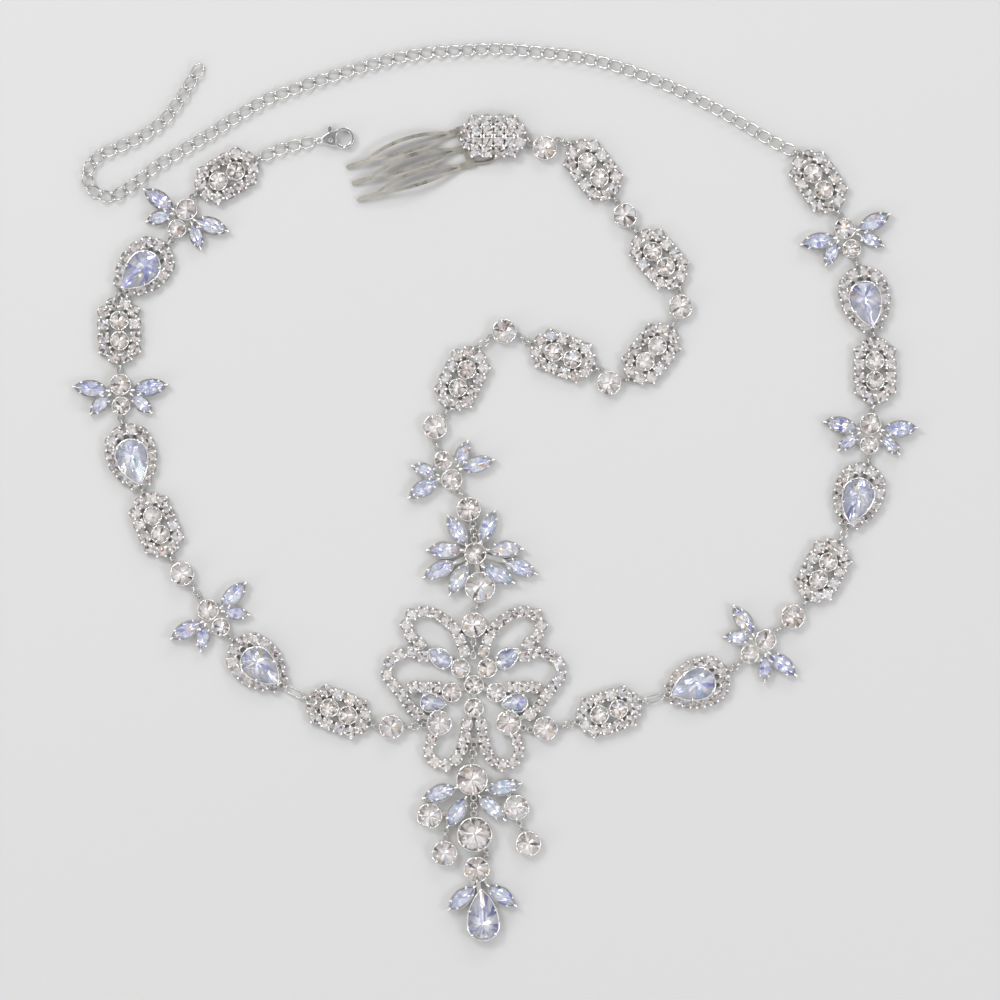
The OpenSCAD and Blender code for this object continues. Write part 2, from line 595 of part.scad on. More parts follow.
// Height of the clasp's shoulder as a share of the ring's radius, and the heights above the pivot, below the
// pivot and below the ring as shares of the shoulder's
SHOULDER_SHARE = 0.82;
BACK_SHARES = [0.88, 0.75, 0.9];
// Where the two shoulders meet the ring, above and below
SHOULDER_X = [-1.4, -1.9];
// How far before the middle of the tail's eye the back ends, and half its width there
BACK_END = 1;
BACK_HALF_W = 0.9;
// Mouth of the ring, before the lever: its start beyond the pivot, its top, and its end as a share of the
// ring's radius
MOUTH_START = 1.6;
MOUTH_TOP = -0.6;
MOUTH_END_SHARE = 0.6;
// Metal left behind and before the slot of the lever
SLOT_END = 1.7;
// Reach of the cuts and the sector beyond the clasp's sides
CLASP_SIDE = 5;
// Part of the ring that the lever takes, its radius round the pin, its web beside the pin and the bearing of
// its thumb piece
LEVER_SECTOR = [[0, 0], [-CLASP_SIDE, -0.6], [-CLASP_SIDE, -CLASP_SIDE], [2, -CLASP_SIDE]];
LEVER_HUB_R = 1.05;
LEVER_WEB = [1.6, 0.9];
THUMB_TURN = 88;
lever_z = clasp_t / 2 - lever_t / 2;
slot_z = lever_z - lever_gap;
slot_t = lever_t + 2 * lever_gap;
clasp_z = 0.05;
clasp_turn = 6;
clasp_place = last_wire(left_chain, clasp_links) + polar(coupler_step + clasp_tail, clasp_turn);

LEFT_NAMES = [for (i = [0:len(LEFT) - 1]) str("left_", i + 1, "_", kind_of(LEFT[i]))];
RIGHT_NAMES = [for (i = [0:len(RIGHT) - 1]) str("right_", i + 1, "_", kind_of(RIGHT[i]))];
TOP_NAMES = [for (i = [0:len(TOP) - 1]) str("top_", i + 1, "_", kind_of(TOP[i]))];

// A cut stone: a table, two rings of crown facets, and a pavilion that ends in a point
module gem(s) {
    n = STONE_SIDES;
    girdle = outline(shape_of(s), length_of(s), width_of(s), n);
    table = [for (i = [0:n - 1]) (girdle[i] + girdle[(i + 1) % n]) / 2 * TABLE_SHARE];
    points = concat(
        [for (p = table) [p[0], p[1], crown(s)]],
        [for (p = girdle) [p[0], p[1], 0]],
        [[0, 0, -depth(s)]]
    );
    faces = concat(
        [[for (i = [0:n - 1]) n - 1 - i]],
        [for (i = [0:n - 1]) [i, (i + 1) % n, n + (i + 1) % n]],
        [for (i = [0:n - 1]) [n + i, i, n + (i + 1) % n]],
        [for (i = [0:n - 1]) [n + (i + 1) % n, 2 * n, n + i]]
    );
    translate([place_of(s)[0], place_of(s)[1], girdle_z(s)]) rotate(turn_of(s)) polyhedron(points, faces);
}
module crystals(stones) { color("whitesmoke") for (s = stones) if (shape_of(s) == "round") gem(s); }
module lavender(stones) { color("lavender") for (s = stones) if (shape_of(s) != "round") gem(s); }

// A shape with two pointed ends, between two arcs
module lens(l, w) {
    r = (l * l + w * w) / (4 * w);
    intersection() {
        translate([0, r - w / 2]) circle(r = r, $fn = LENS_FN);
        translate([0, w / 2 - r]) circle(r = r, $fn = LENS_FN);
    }
}

// Where the wall of a pear basket ends, so that the stone hangs clear inside it
BASKET_SHARE = 0.78;
function basket_top(s) =
    girdle_z(s) - depth(s) * (1 - BASKET_SHARE + 2 * (basket_wall + 2 * seat_gap) / width_of(s));

module basket_2d(s, less) {
    l = length_of(s) * BASKET_SHARE - 2 * less;
    w = width_of(s) * BASKET_SHARE - 2 * less;
    polygon(outline("pear", l, w, FINE_SIDES));
}

// Claw of a pear stone, with its spoke from the round middle
function claw_place(s, bearing) =
    let (more = 2 * (seat_gap + claw_r))
    outline("pear", length_of(s) + more, width_of(s) + more, CLAW_STEPS)[round(bearing / 360 * CLAW_STEPS)];
module pear_claw(s, p) {
    strap([0, 0], p);
    translate([p[0], p[1], strap_z]) cylinder(h = girdle_z(s) + claw_rise - strap_z, r = claw_r);
}

// What holds one stone: a plain cup, a pointed one with a claw at each end, or a basket with claws
module setting(s) {
    translate([place_of(s)[0], place_of(s)[1], 0]) rotate(turn_of(s)) {
        if (shape_of(s) == "round") cylinder(h = rim_z(s), r = cup_r(width_of(s)));
        if (shape_of(s) == "marquise") {
            linear_extrude(rim_z(s)) lens(length_of(s) + 2 * wall, width_of(s) + 2 * wall);
            for (side = [-1, 1]) translate([side * (length_of(s) / 2 + seat_gap + claw_r), 0, 0])
                cylinder(h = girdle_z(s) + claw_rise, r = claw_r);
        }
        if (shape_of(s) == "pear") {
            linear_extrude(basket_top(s)) basket_2d(s, 0);
            for (bearing = PEAR_CLAWS) pear_claw(s, claw_place(s, bearing));
        }
    }
}

// The hollow that the stone lies in
module pocket(s) {
    play = 2 * seat_gap;
    translate([place_of(s)[0], place_of(s)[1], floor_t]) rotate(turn_of(s)) {
        if (shape_of(s) == "round")
            cylinder(h = depth(s) + seat_gap, r1 = play, r2 = width_of(s) / 2 + play);
        if (shape_of(s) == "marquise")
            linear_extrude(depth(s) + crown(s)) lens(length_of(s) + play, width_of(s) + play);
        if (shape_of(s) == "pear") linear_extrude(depth(s)) basket_2d(s, basket_wall);
    }
}
module small_pocket(p) {
    translate([p[0], p[1], floor_t])
        cylinder(h = small_cup_h - floor_t + TINY, r1 = 2 * seat_gap, r2 = small_stone_d / 2 + seat_gap);
}

// A flat bar between two places
module strap(p, q, w = strap_w, t = strap_t) {
    translate([p[0], p[1], strap_z]) rotate(heading(q - p))
        translate([0, -w / 2, 0]) cube([norm(q - p), w, t]);
}
module eye(p, r = eye_r) {
    translate([p[0], p[1], mid_z - eye_t / 2]) linear_extrude(eye_t) difference() {
        circle(r = r + eye_w);
        circle(r = r);
    }
}
module cups_2d(cups) { for (p = cups) translate(p) circle(d = small_cup_d); }

// A ring of wire that stands on edge
module upright_ring(p, z, turn, r) {
    translate([p[0], p[1], z]) rotate([90, 0, turn]) rotate_extrude()
        translate([r, 0]) circle(r = ring_wire_r);
}

// The joints of a strand: a ring on edge, or two with a flat loop between them
module ring(p, q) { upright_ring((p + q) / 2, mid_z, heading(q - p), ring_r); }
module slot_2d(l, r) {
    for (s = [-1, 1]) translate([s * l / 2, 0]) circle(r = r);
    if (l > 0) translate([-l / 2, -r]) square([l, 2 * r]);
}
module joint(p, q, loop) {
    if (loop < 0) ring(p, q);
    if (loop >= 0) {
        m = (p + q) / 2;
        step = (q - p) / norm(q - p) * loop_step;
        translate([m[0], m[1], mid_z - eye_t / 2]) rotate(heading(step)) linear_extrude(eye_t) difference() {
            slot_2d(loop, loop_out);
            slot_2d(loop, loop_r);
        }
        ring(p, p + step);
        ring(q - step, q);
    }
}
module coupler(p, turn) { upright_ring(p + polar(coupler_shift, turn), coupler_z, turn, coupler_r); }

module oval_piece(z) {
    difference() {
        union() {
            translate([0, 0, z]) {
                linear_extrude(small_cup_h) cups_2d(oval_cups());
                for (s = oval_stones()) setting(s);
                strap([-oval_end, 0], [oval_end, 0], 2 * strap_w);
                for (x = [-1, 1], y = [-1, 1]) {
                    strap([x * oval_stone_gap / 2, 0], [x, y * OVAL_CUPS[2][1] * 2] * small_pitch / 2);
                    for (i = [0, 1]) strap(oval_corner(i, x, y), oval_corner(i + 1, x, y));
                    strap(oval_corner(2, x, y), oval_corner(2, 0, y));
                }
            }
            for (x = [-1, 1]) eye([x * oval_eye, 0]);
        }
        translate([0, 0, z]) {
            for (s = oval_stones()) pocket(s);
            for (p = oval_cups()) small_pocket(p);
        }
    }
}
module pear_piece() {
    stone = pear_stones()[0];
    cups = pear_cups();
    difference() {
        union() {
            linear_extrude(small_cup_h) cups_2d(cups);
            setting(stone);
            for (p = cups) strap([0, 0], p, strap_w * SPOKE_SHARE);
            for (i = [0:len(cups) - 3]) strap(cups[i], cups[i + 2]);
            eye([-pear_near, 0]);
            eye([pear_far, 0]);
        }
        pocket(stone);
        for (p = cups) small_pocket(p);
    }
}
module stone_piece(stones, eyes) {
    difference() {
        union() {
            for (s = stones) setting(s);
            for (p = eyes) eye(p);
            children();
        }
        for (s = stones) pocket(s);
    }
}
module wings_piece(kind) {
    stones = stones_of(kind);
    stone_piece(stones, [[-near_eye(kind), 0], [far_eye(kind), 0]]) {
        translate([wing_gap / 2, 0, strap_z]) cylinder(h = strap_t, r = wing_gap / 2 + strap_w);
        for (s = stones) if (shape_of(s) == "marquise") strap([wing_gap / 2, 0], base(s));
    }
}
module flower_piece() {
    stone_piece(flower_stones(), [[-flower_near, 0], [flower_far, 0]]) {
        for (s = leaves(FLOWER, cup_r(flower_d))) strap([0, 0], base(s));
        strap([0, 0], flower_drop);
    }
}
module piece(row) {
    kind = kind_of(row);
    color("silver") {
        if (kind == "round")
            stone_piece(stones_of(kind), [[-single_reach, 0], polar(single_reach, bend_of(row))]);
        if (kind == "oval") oval_piece(0);
        if (kind == "comb_oval") oval_piece(cluster_z);
        if (kind == "pear") pear_piece();
        if (kind == "wings" || kind == "wings_back") wings_piece(kind);
        if (kind == "flower") flower_piece();
    }
}
module placed(eyes, strand, i) {
    p = piece_place(eyes, strand, i);
    translate([p[0], p[1], 0]) rotate(piece_turn(eyes, strand, i)) children();
}

module butterfly() {
    rows = [for (points = butterfly_rows(), s = [-1, 1]) [for (p = row_of_cups(points)) mirrored(p, s)]];
    stones = butterfly_stones();
    color("silver") difference() {
        union() {
            for (row = rows) {
                linear_extrude(small_cup_h) cups_2d(row);
                for (i = [0:len(row) - 2]) strap(row[i], row[i + 1]);
            }
            for (s = stones) setting(s);
            for (s = [-1, 1]) {
                strap(mirrored(UPPER_ROW[0], s), mirrored(BODY[1], s));
                strap(mirrored(UPPER_ROW[5], s), mirrored(MIDDLE_ROW[1], s));
                strap(mirrored(MIDDLE_ROW[0], s), mirrored(MINI_PEARS[0][0], s));
                strap(mirrored(MINI_PEARS[0][0], s), mirrored(BODY[1], s));
                strap(mirrored(INNER_ROW[0], s), mirrored(MIDDLE_ROW[4], s));
                strap(mirrored(INNER_ROW[1], s), mirrored(BODY[3], s));
                strap(mirrored(MINI_PEARS[1][0], s), mirrored(BODY[3], s));
                strap(mirrored(MIDDLE_ROW[6], s), mirrored(FLANK, s));
                strap(mirrored(LOWER_ROW[0], s), mirrored(FLANK, s));
                strap(mirrored(MINI_PEARS[1][0], s), mirrored(FLANK, s));
                strap(mirrored(LOWER_ROW[5], s), BODY[5]);
                strap(BODY[0], mirrored(BODY[1], s));
                strap(BODY[0], mirrored(BODY[3], s));
                strap(mirrored(UPPER_ROW[1], s), HEAD);
                eye(flank_eye(s));
            }
            strap(BODY[0], BODY[5]);
            strap(mirrored(LOWER_ROW[4], -1), LOWER_ROW[4], strap_w, mid_z + eye_t / 2 - strap_z);
            eye(head_eye);
            eye(foot_eye);
        }
        for (s = stones) pocket(s);
        for (row = rows, p = row) small_pocket(p);
    }
}

module pendant() {
    color("silver") translate([pendant_place[0], pendant_place[1], 0])
        stone_piece(pendant_stones(), [pendant_eye, pendant_foot, left_tip, right_tip]) {
            for (i = [0:3]) {
                strap([0, 0], base(pendant_leaves[i], strap_w));
                strap(place_of(pendant_leaves[i]), pendant_sides[i < 2 ? 0 : 1]);
            }
        }
}
module side_drop(p, turn) {
    color("silver") translate([p[0], p[1], 0])
        stone_piece([round_stone([0, 0], pendant_side_d)], [polar(cup_r(pendant_side_d) + eye_reach, turn)]);
}
module pendant_left_drop() { side_drop(pendant_place + left_hang, LEFT_HANG_TURN + 180); }
module pendant_right_drop() { side_drop(pendant_place + right_hang, RIGHT_HANG_TURN + 180); }
module pendant_middle() {
    p = pendant_place + mid_place;
    up = pendant_foot - mid_place + [0, -2 * loop_step];
    color("silver") translate([p[0], p[1], 0])
        stone_piece([round_stone([0, 0], pendant_mid_d)], [up, mid_eye - mid_place]);
}
module pear_drop() {
    p = pendant_place + drop_place;
    color("silver") translate([p[0], p[1], 0]) stone_piece(drop_stones(), [drop_eye - drop_place]) {
        for (s = drop_leaves) strap([0, 0], base(s, strap_w));
        strap([0, 0], drop_pear);
    }
}
module at_pendant() { translate([pendant_place[0], pendant_place[1], 0]) children(); }

module joints_of(eyes, strand) {
    for (i = [0:len(strand) - 1]) joint(eyes[2 * i], eyes[2 * i + 1], loop_of(strand[i]));
}
module joint_rings() {
    color("silver") {
        joints_of(left_eyes, LEFT);
        joints_of(right_eyes, RIGHT);
        joints_of(top_eyes, TOP);
        joint(foot_eye, pendant_place + pendant_eye, 0);
        at_pendant() {
            joint(pendant_foot, pendant_foot - [0, 2 * loop_step], 0);
            joint(left_tip, left_tip + polar(short_step, LEFT_HANG_TURN), NO_LOOP);
            joint(right_tip, right_tip + polar(short_step, RIGHT_HANG_TURN), NO_LOOP);
            joint(mid_eye, drop_eye, NO_LOOP);
        }
    }
}

// A link of twisted wire, so that the chain lies flat
module curb_link(p, q, twist) {
    m = (p + q) / 2;
    n = len(CURB_ANGLES);
    path = [for (a = CURB_ANGLES) [curb_a * cos(a), curb_b * sin(a), twist * sin(2 * a)]];
    points = [
        for (i = [0:n - 1])
            let (
                t = unit(path[(i + 1) % n] - path[(i + n - 1) % n]),
                s = unit(cross(t, [0, 0, 1])),
                u = cross(s, t)
            )
            for (k = [0:CURB_SIDES - 1])
                let (a = 360 * k / CURB_SIDES) path[i] + curb_wire_r * (s * cos(a) + u * sin(a))
    ];
    faces = [
        for (i = [0:n - 1], k = [0:CURB_SIDES - 1])
            let (j = (i + 1) % n, l = (k + 1) % CURB_SIDES)
            [i * CURB_SIDES + k, i * CURB_SIDES + l, j * CURB_SIDES + l, j * CURB_SIDES + k]
    ];
    translate([m[0], m[1], curb_z]) rotate(heading(q - p)) polyhedron(points, faces);
}
function twist_of(i) = i >= TURN_LINKS[0] && i <= TURN_LINKS[1] ? turn_twist : curb_twist;
module extension_chain() {
    start = right_eyes[2 * len(RIGHT)];
    color("silver") {
        for (i = [0:extension_links - 1]) curb_link(right_chain[i], right_chain[i + 1], twist_of(i));
        coupler(start, heading(first_wire(right_chain) - start));
    }
}
module clasp_chain() {
    start = left_eyes[2 * len(LEFT)];
    color("silver") {
        for (i = [0:clasp_links - 1]) curb_link(left_chain[i], left_chain[i + 1], curb_twist);
        coupler(start, heading(first_wire(left_chain) - start));
        coupler(clasp_place - polar(clasp_tail, clasp_turn), clasp_turn + 180);
    }
}

// A shape with two pointed ends, between arcs that rise by different heights from the line between its ends
module bow(l, rise, fall) {
    r_rise = (l * l / 4 + rise * rise) / (2 * rise);
    r_fall = (l * l / 4 + fall * fall) / (2 * fall);
    intersection() {
        translate([0, r_rise - rise]) circle(r = r_rise, $fn = LENS_FN);
        translate([0, fall - r_fall]) circle(r = r_fall, $fn = LENS_FN);
    }
}
module tooth() {
    rise = tooth_w * BOW_SHARE;
    fall = tooth_w - rise;
    difference() {
        union() {
            translate([slit_x, 0]) bow(swell_l, rise, fall);
            translate([0, -neck_w / 2]) square([NECK_L + NECK_REACH, neck_w]);
            translate([slit_x, -tooth_tip_w / 2]) square([tooth_l - slit_x - tooth_tip_w / 2, tooth_tip_w]);
            translate([tooth_l - tooth_tip_w / 2, 0]) circle(d = tooth_tip_w);
        }
        translate([slit_x, 0]) bow(slit_l, rise - tooth_bar, fall - tooth_bar);
    }
}
module arch(r) {
    translate([(FLAT_L + tooth_l) / 2, 0, comb_rise - arch_r]) rotate([90, 0, 0])
        cylinder(h = 2 * tooth_w, r = r, center = true, $fn = ARCH_FN);
}
module at_comb() {
    placed(top_eyes, TOP, len(TOP) - 1) translate([comb_place[0], comb_place[1], comb_z]) rotate(comb_turn)
        children();
}
module comb() {
    plate = PLATE_SHARES * spine_w;
    color("silver") at_comb() {
        translate([-spine_w / 2, -spine_l / 2, 0]) cube([spine_w, spine_l, comb_t]);
        translate([-plate[0], -plate[1] / 2, 0]) cube([plate[0], plate[1], comb_t]);
        for (i = [-1:1]) translate([0, i * tooth_pitch, 0]) {
            translate([0, -neck_w / 2, 0]) cube([FLAT_L + comb_t, neck_w, comb_t]);
            difference() {
                intersection() {
                    linear_extrude(comb_rise + 2 * comb_t) tooth();
                    arch(arch_r + comb_t);
                }
                arch(arch_r);
                translate([-tooth_l, -tooth_w, -tooth_w]) cube([tooth_l + FLAT_L, 2 * tooth_w, 2 * tooth_w]);
            }
        }
    }
}

module at_clasp() { translate([clasp_place[0], clasp_place[1], clasp_z]) rotate(clasp_turn) children(); }
module mouth_2d() {
    mouth_x = MOUTH_START - pivot_x;
    intersection() {
        translate([mouth_x, -CLASP_SIDE])
            square([clasp_ring_r * MOUTH_END_SHARE - mouth_x, CLASP_SIDE + MOUTH_TOP]);
        translate(pivot) circle(r = gate_reach + lever_gap, $fn = LENS_FN);
    }
}
module clasp_body() {
    shoulder = clasp_ring_r * SHOULDER_SHARE;
    backs = shoulder * BACK_SHARES;
    end_x = BACK_END - clasp_tail;
    color("silver") at_clasp() difference() {
        union() {
            linear_extrude(clasp_t) difference() {
                union() {
                    circle(r = clasp_ring_r, $fn = LENS_FN);
                    polygon([
                        [SHOULDER_X[0], shoulder], [-pivot_x, backs[0]],
                        [end_x, BACK_HALF_W], [end_x, -BACK_HALF_W],
                        [-pivot_x, -backs[1]], [SHOULDER_X[1], -backs[2]]
                    ]);
                }
                circle(r = ring_in, $fn = LENS_FN);
                mouth_2d();
            }
            translate([-clasp_tail, 0, mid_z - clasp_z - eye_t / 2]) linear_extrude(eye_t) difference() {
                circle(r = eye_out);
                circle(r = eye_r);
            }
        }
        translate([SLOT_END - clasp_tail, -CLASP_SIDE, slot_z])
            cube([clasp_tail - 2 * SLOT_END, 2 * CLASP_SIDE, slot_t]);
        translate([pivot[0], pivot[1], -CUT_SPARE])
            cylinder(h = clasp_t + 2 * CUT_SPARE, r = pin_r + pin_seat);
    }
}
module clasp_lever() {
    color("silver") at_clasp() translate([0, 0, lever_z]) linear_extrude(lever_t) difference() {
        union() {
            intersection() {
                difference() {
                    circle(r = clasp_ring_r, $fn = LENS_FN);
                    circle(r = ring_in, $fn = LENS_FN);
                }
                translate(pivot) circle(r = gate_reach, $fn = LENS_FN);
                polygon(LEVER_SECTOR);
            }
            translate(pivot) circle(r = LEVER_HUB_R);
            translate(pivot) square(LEVER_WEB);
            translate(pivot) rotate(THUMB_TURN) translate([0, -thumb_w / 2])
                square([thumb_l - thumb_w / 2, thumb_w]);
            translate(pivot + polar(thumb_l - thumb_w / 2, THUMB_TURN)) circle(d = thumb_w);
        }
        translate(pivot) circle(r = pin_r + pin_play);
    }
}
module clasp_pin() {
    color("silver") at_clasp() translate([pivot[0], pivot[1], 0]) cylinder(h = clasp_t, r = pin_r);
}

for (i = [0:len(LEFT) - 1])
    placed(left_eyes, LEFT, i) piece(LEFT[i]);
for (i = [0:len(RIGHT) - 1])
    placed(right_eyes, RIGHT, i) piece(RIGHT[i]);
for (i = [0:len(TOP) - 1])
    placed(top_eyes, TOP, i) piece(TOP[i]);
butterfly();
crystals(strand_stones(left_eyes, LEFT));  // left_crystals
crystals(strand_stones(right_eyes, RIGHT));  // right_crystals
crystals(strand_stones(top_eyes, TOP));  // top_crystals
union() {  // side_lavender
    lavender(strand_stones(left_eyes, LEFT));
    lavender(strand_stones(right_eyes, RIGHT));
}
lavender(strand_stones(top_eyes, TOP));  // top_lavender
crystals(centre_stones());  // centre_crystals
lavender(centre_stones());  // centre_lavender
comb();
joint_rings();
extension_chain();
clasp_chain();
clasp_body();
clasp_lever();
clasp_pin();
pendant();
pendant_left_drop();
pendant_right_drop();
pendant_middle();
pear_drop();
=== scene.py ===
import math
import random

import bpy
import numpy as np
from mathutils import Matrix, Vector


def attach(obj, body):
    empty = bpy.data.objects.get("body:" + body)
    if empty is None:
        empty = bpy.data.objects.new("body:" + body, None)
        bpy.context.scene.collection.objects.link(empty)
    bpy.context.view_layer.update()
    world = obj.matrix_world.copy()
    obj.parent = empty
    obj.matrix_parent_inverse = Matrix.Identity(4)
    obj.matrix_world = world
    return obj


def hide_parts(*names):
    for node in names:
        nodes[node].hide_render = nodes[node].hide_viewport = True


# Looks of the hair chain: cut stones, claws, smooth links, polished clasp, metal finishes, floor, light and
# camera. Layout values repeat those of the solids, in mm; meshes are written in metres.

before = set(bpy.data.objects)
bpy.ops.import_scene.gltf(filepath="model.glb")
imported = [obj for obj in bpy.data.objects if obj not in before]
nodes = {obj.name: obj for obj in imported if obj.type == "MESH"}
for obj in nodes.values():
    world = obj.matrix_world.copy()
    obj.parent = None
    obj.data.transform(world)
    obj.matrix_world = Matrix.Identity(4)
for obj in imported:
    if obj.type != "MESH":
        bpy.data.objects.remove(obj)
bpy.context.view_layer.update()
MM = 0.001

# ---- sizes, in mm
SMALL_CUP_D, SMALL_STONE_D, SMALL_PITCH = 3.8, 3.0, 3.8
RIM_W, SEAT_GAP, FLOOR_T, GIRDLE_LIFT = 0.3, 0.12, 0.4, 0.2
CLAW_R, CLAW_RISE = 0.36, 0.45
SINGLE_D, OVAL_STONE_D, OVAL_STONE_GAP = 6.5, 4.9, 6.0
WING_FRONT_D, WING_BACK_D, WING_GAP = 5.6, 4.8, 6.4
FLOWER_STEM, FLOWER_D, FLOWER_DROP_D = 2.2, 5.8, 8.3
BODY_D, HEAD_D, FLANK_D = 5.1, 6.7, 6.7
PENDANT_D, PENDANT_SIDE_D, PENDANT_MID_D, DROP_ROUND_D = 8.6, 6.8, 9.7, 7.0
MARQUISE_L, MARQUISE_W, PETAL_L, PETAL_W = 9.8, 4.4, 7.4, 3.6
PEAR_L, PEAR_W, MINI_PEAR_L, MINI_PEAR_W, DROP_L, DROP_W = 13.2, 9.0, 7.2, 5.0, 14.8, 9.0
RING_WIRE_R, RING_R, EYE_R, EYE_W, EYE_T, EYE_GAP, LOOP_R = 0.22, 0.9, 0.65, 0.4, 0.4, 0.12, 0.8
CURB_L, CURB_W, CURB_WIRE_R, CURB_TWIST, TURN_TWIST, CURB_PLAY = 5.4, 3.7, 0.27, 0.6, 0.85, 0.22
EXTENSION_LINKS, CLASP_LINKS, TURN_LINKS = 69, 4, (51, 58)
CLASP_TAIL, CLASP_TURN = 7.4, 6
COMB_T, COMB_Z = 0.8, 0.05

WALL = RIM_W + SEAT_GAP
RING_LIFT, EYE_ROOT, CUP_EYE_ROOT, CLUSTER_GAP = 0.08, 0.2, 0.1, 0.1
COUPLER_PLAY, COUPLER_LIFT, COUPLER_SHIFT = 0.1, 0.03, 0.2
PEAR_FULLNESS, FLOWER_SKEW, ROUTE_SPARE = 0.7, 0.1, 60
MID_Z = RING_WIRE_R + RING_R + RING_LIFT
EYE_OUT, LOOP_OUT = EYE_R + EYE_W, LOOP_R + EYE_W
SHORT_STEP = 2 * EYE_OUT + EYE_GAP
LOOP_STEP = EYE_OUT + LOOP_OUT + EYE_GAP
EYE_REACH = EYE_R + EYE_ROOT
CLUSTER_Z = COMB_Z + COMB_T + CLUSTER_GAP

# Depth of a stone below its girdle and height above it, as shares of its width
DEPTH_SHARE = {"round": 0.3, "marquise": 0.42, "pear": 0.31}
CROWN_SHARE = {"round": 0.2, "marquise": 0.24, "pear": 0.17}
# Small cups of a quarter of an oval piece, in pitches, and of half a pear piece, in shares of the pear's size
OVAL_CUPS = [(2.1, 0.48), (1.5, 1.18), (0.52, 1.24)]
PEAR_CUPS = [(0.64, 0.22), (0.41, 0.47), (0.14, 0.63), (-0.15, 0.65), (-0.41, 0.53), (-0.56, 0.21)]
# Bearings of a pear's prongs
PEAR_CLAWS = [65, 130, 230, 295]
# Marquises on each side of a winged piece: size, place along its gap, distance in cup radii, and turn
WINGS = [("large", 0.27, 1.21, 98), ("small", 0.5, 1.24, 46)]
# Marquises of the flower and of the pendant: bearing, distance in cup radii, and turn
FLOWER = [(41, 1.17, 27), (-32, 1.17, -29), (72, 1.3, 85), (-79, 1.27, -94),
          (110, 2.08, 110), (137, 1.3, 146), (-153, 1.48, -122), (-110, 2.8, -117)]
PENDANT = [(207, 1.17, 198), (251, 1.25, 238), (-34, 1.2, 11), (-65, 1.21, -43)]
# Side rounds of the pendant, in lengths of a marquise
PENDANT_SIDES = [(-1.3, -1.12), (1.36, -0.86)]
# The lowest drop: its marquises, the point of its pear in cup radii, and the pear's turn
DROP_LEAVES = [(262, 1.37, 221), (-54, 1.55, -36)]
DROP_POINT, DROP_TURN = (0.38, -1.58), 93
# The butterfly: the stones of its body and its head, and of its right half the side stone, the small pears and
# the rows of small cups
BODY = [(0, 1.6), (4, 6.6), (-4, 6.6), (6.7, -0.7), (-6.7, -0.7), (0, -5.2)]
HEAD, FLANK = (0, 19.5), (10.4, -9.8)
MINI_PEARS = [((9.4, 9.2), 36), ((13.3, -3.7), 186)]
UPPER_ROW = [(3, 11.7), (5.9, 18.4), (12.4, 23.1), (18.6, 22.7), (20.2, 18), (16.2, 13.9)]
MIDDLE_ROW = [(15.2, 10.1), (19.4, 11.3), (24.6, 9.2), (26, 4.2), (22.4, -0.4), (19.8, -4.4), (16.8, -7.2)]
INNER_ROW = [(18.2, 0.9), (11.6, 0.9)]
LOWER_ROW = [(12.7, -14.8), (13.4, -19.2), (9.8, -22.7), (5, -20.3), (3, -15), (2.2, -10.3)]

# Routes of the strands, from the eye where each starts
LEFT_ROUTE = [
    (0, 0), (-4, -0.5), (-10, -1.5), (-16, 0.2), (-27, 5), (-41, 10.5), (-50.5, 20), (-60.5, 28), (-65.5, 35),
    (-71.5, 45), (-76, 50), (-79, 60), (-84, 69), (-88, 81), (-91, 93), (-92, 100), (-91, 108), (-91.5, 129),
    (-84, 138), (-76, 145), (-73.5, 152), (-69.5, 158), (-60.5, 164.5), (-51.5, 169), (-42, 173), (-33, 175)]
RIGHT_ROUTE = [
    (0, 0), (6.5, -1.5), (12, 0.5), (26, 5), (38.5, 8.5), (54, 13), (63, 17.5), (67.5, 22.5), (73, 27.5),
    (77.5, 30), (82, 34), (85.5, 39), (90, 49), (96.5, 58.5), (102, 71.5), (103.5, 82), (104, 94),
    (105.5, 97), (105.5, 108), (105, 118), (101.5, 131), (100, 138.5), (97.5, 148), (95, 153.5), (89.5, 163),
    (84, 171), (76, 175), (65, 181.5), (53, 188), (41, 193.5), (29, 198), (17, 201), (5, 202.5), (-7, 203.5),
    (-19, 203), (-31, 202), (-43, 199.5), (-55, 196), (-67, 192), (-78.5, 187.5), (-95.5, 177),
    (-103, 172.5), (-110.5, 168), (-118, 162), (-124, 158.8), (-129.5, 161), (-131, 166.5), (-127.5, 171.5),
    (-120, 174.5), (-110, 180), (-104.5, 186), (-98.5, 195.5)]
TOP_ROUTE = [
    (0, 0), (1.7, 1.4), (1.5, 10), (0, 21), (-0.3, 26), (-0.5, 30), (-3, 34.5), (-6, 36.5), (-11, 49),
    (-11.5, 55), (-8, 60), (0.5, 77.5), (4, 81), (10.5, 83), (19, 79), (37.5, 72), (44, 69), (49, 70.5),
    (60, 86), (61.5, 94), (60.5, 100.5), (47.5, 114.5), (43.5, 121), (40.5, 125.5), (29, 140.5), (24, 140),
    (18.5, 138.5), (14, 143), (4.5, 143), (-6, 141.5)]
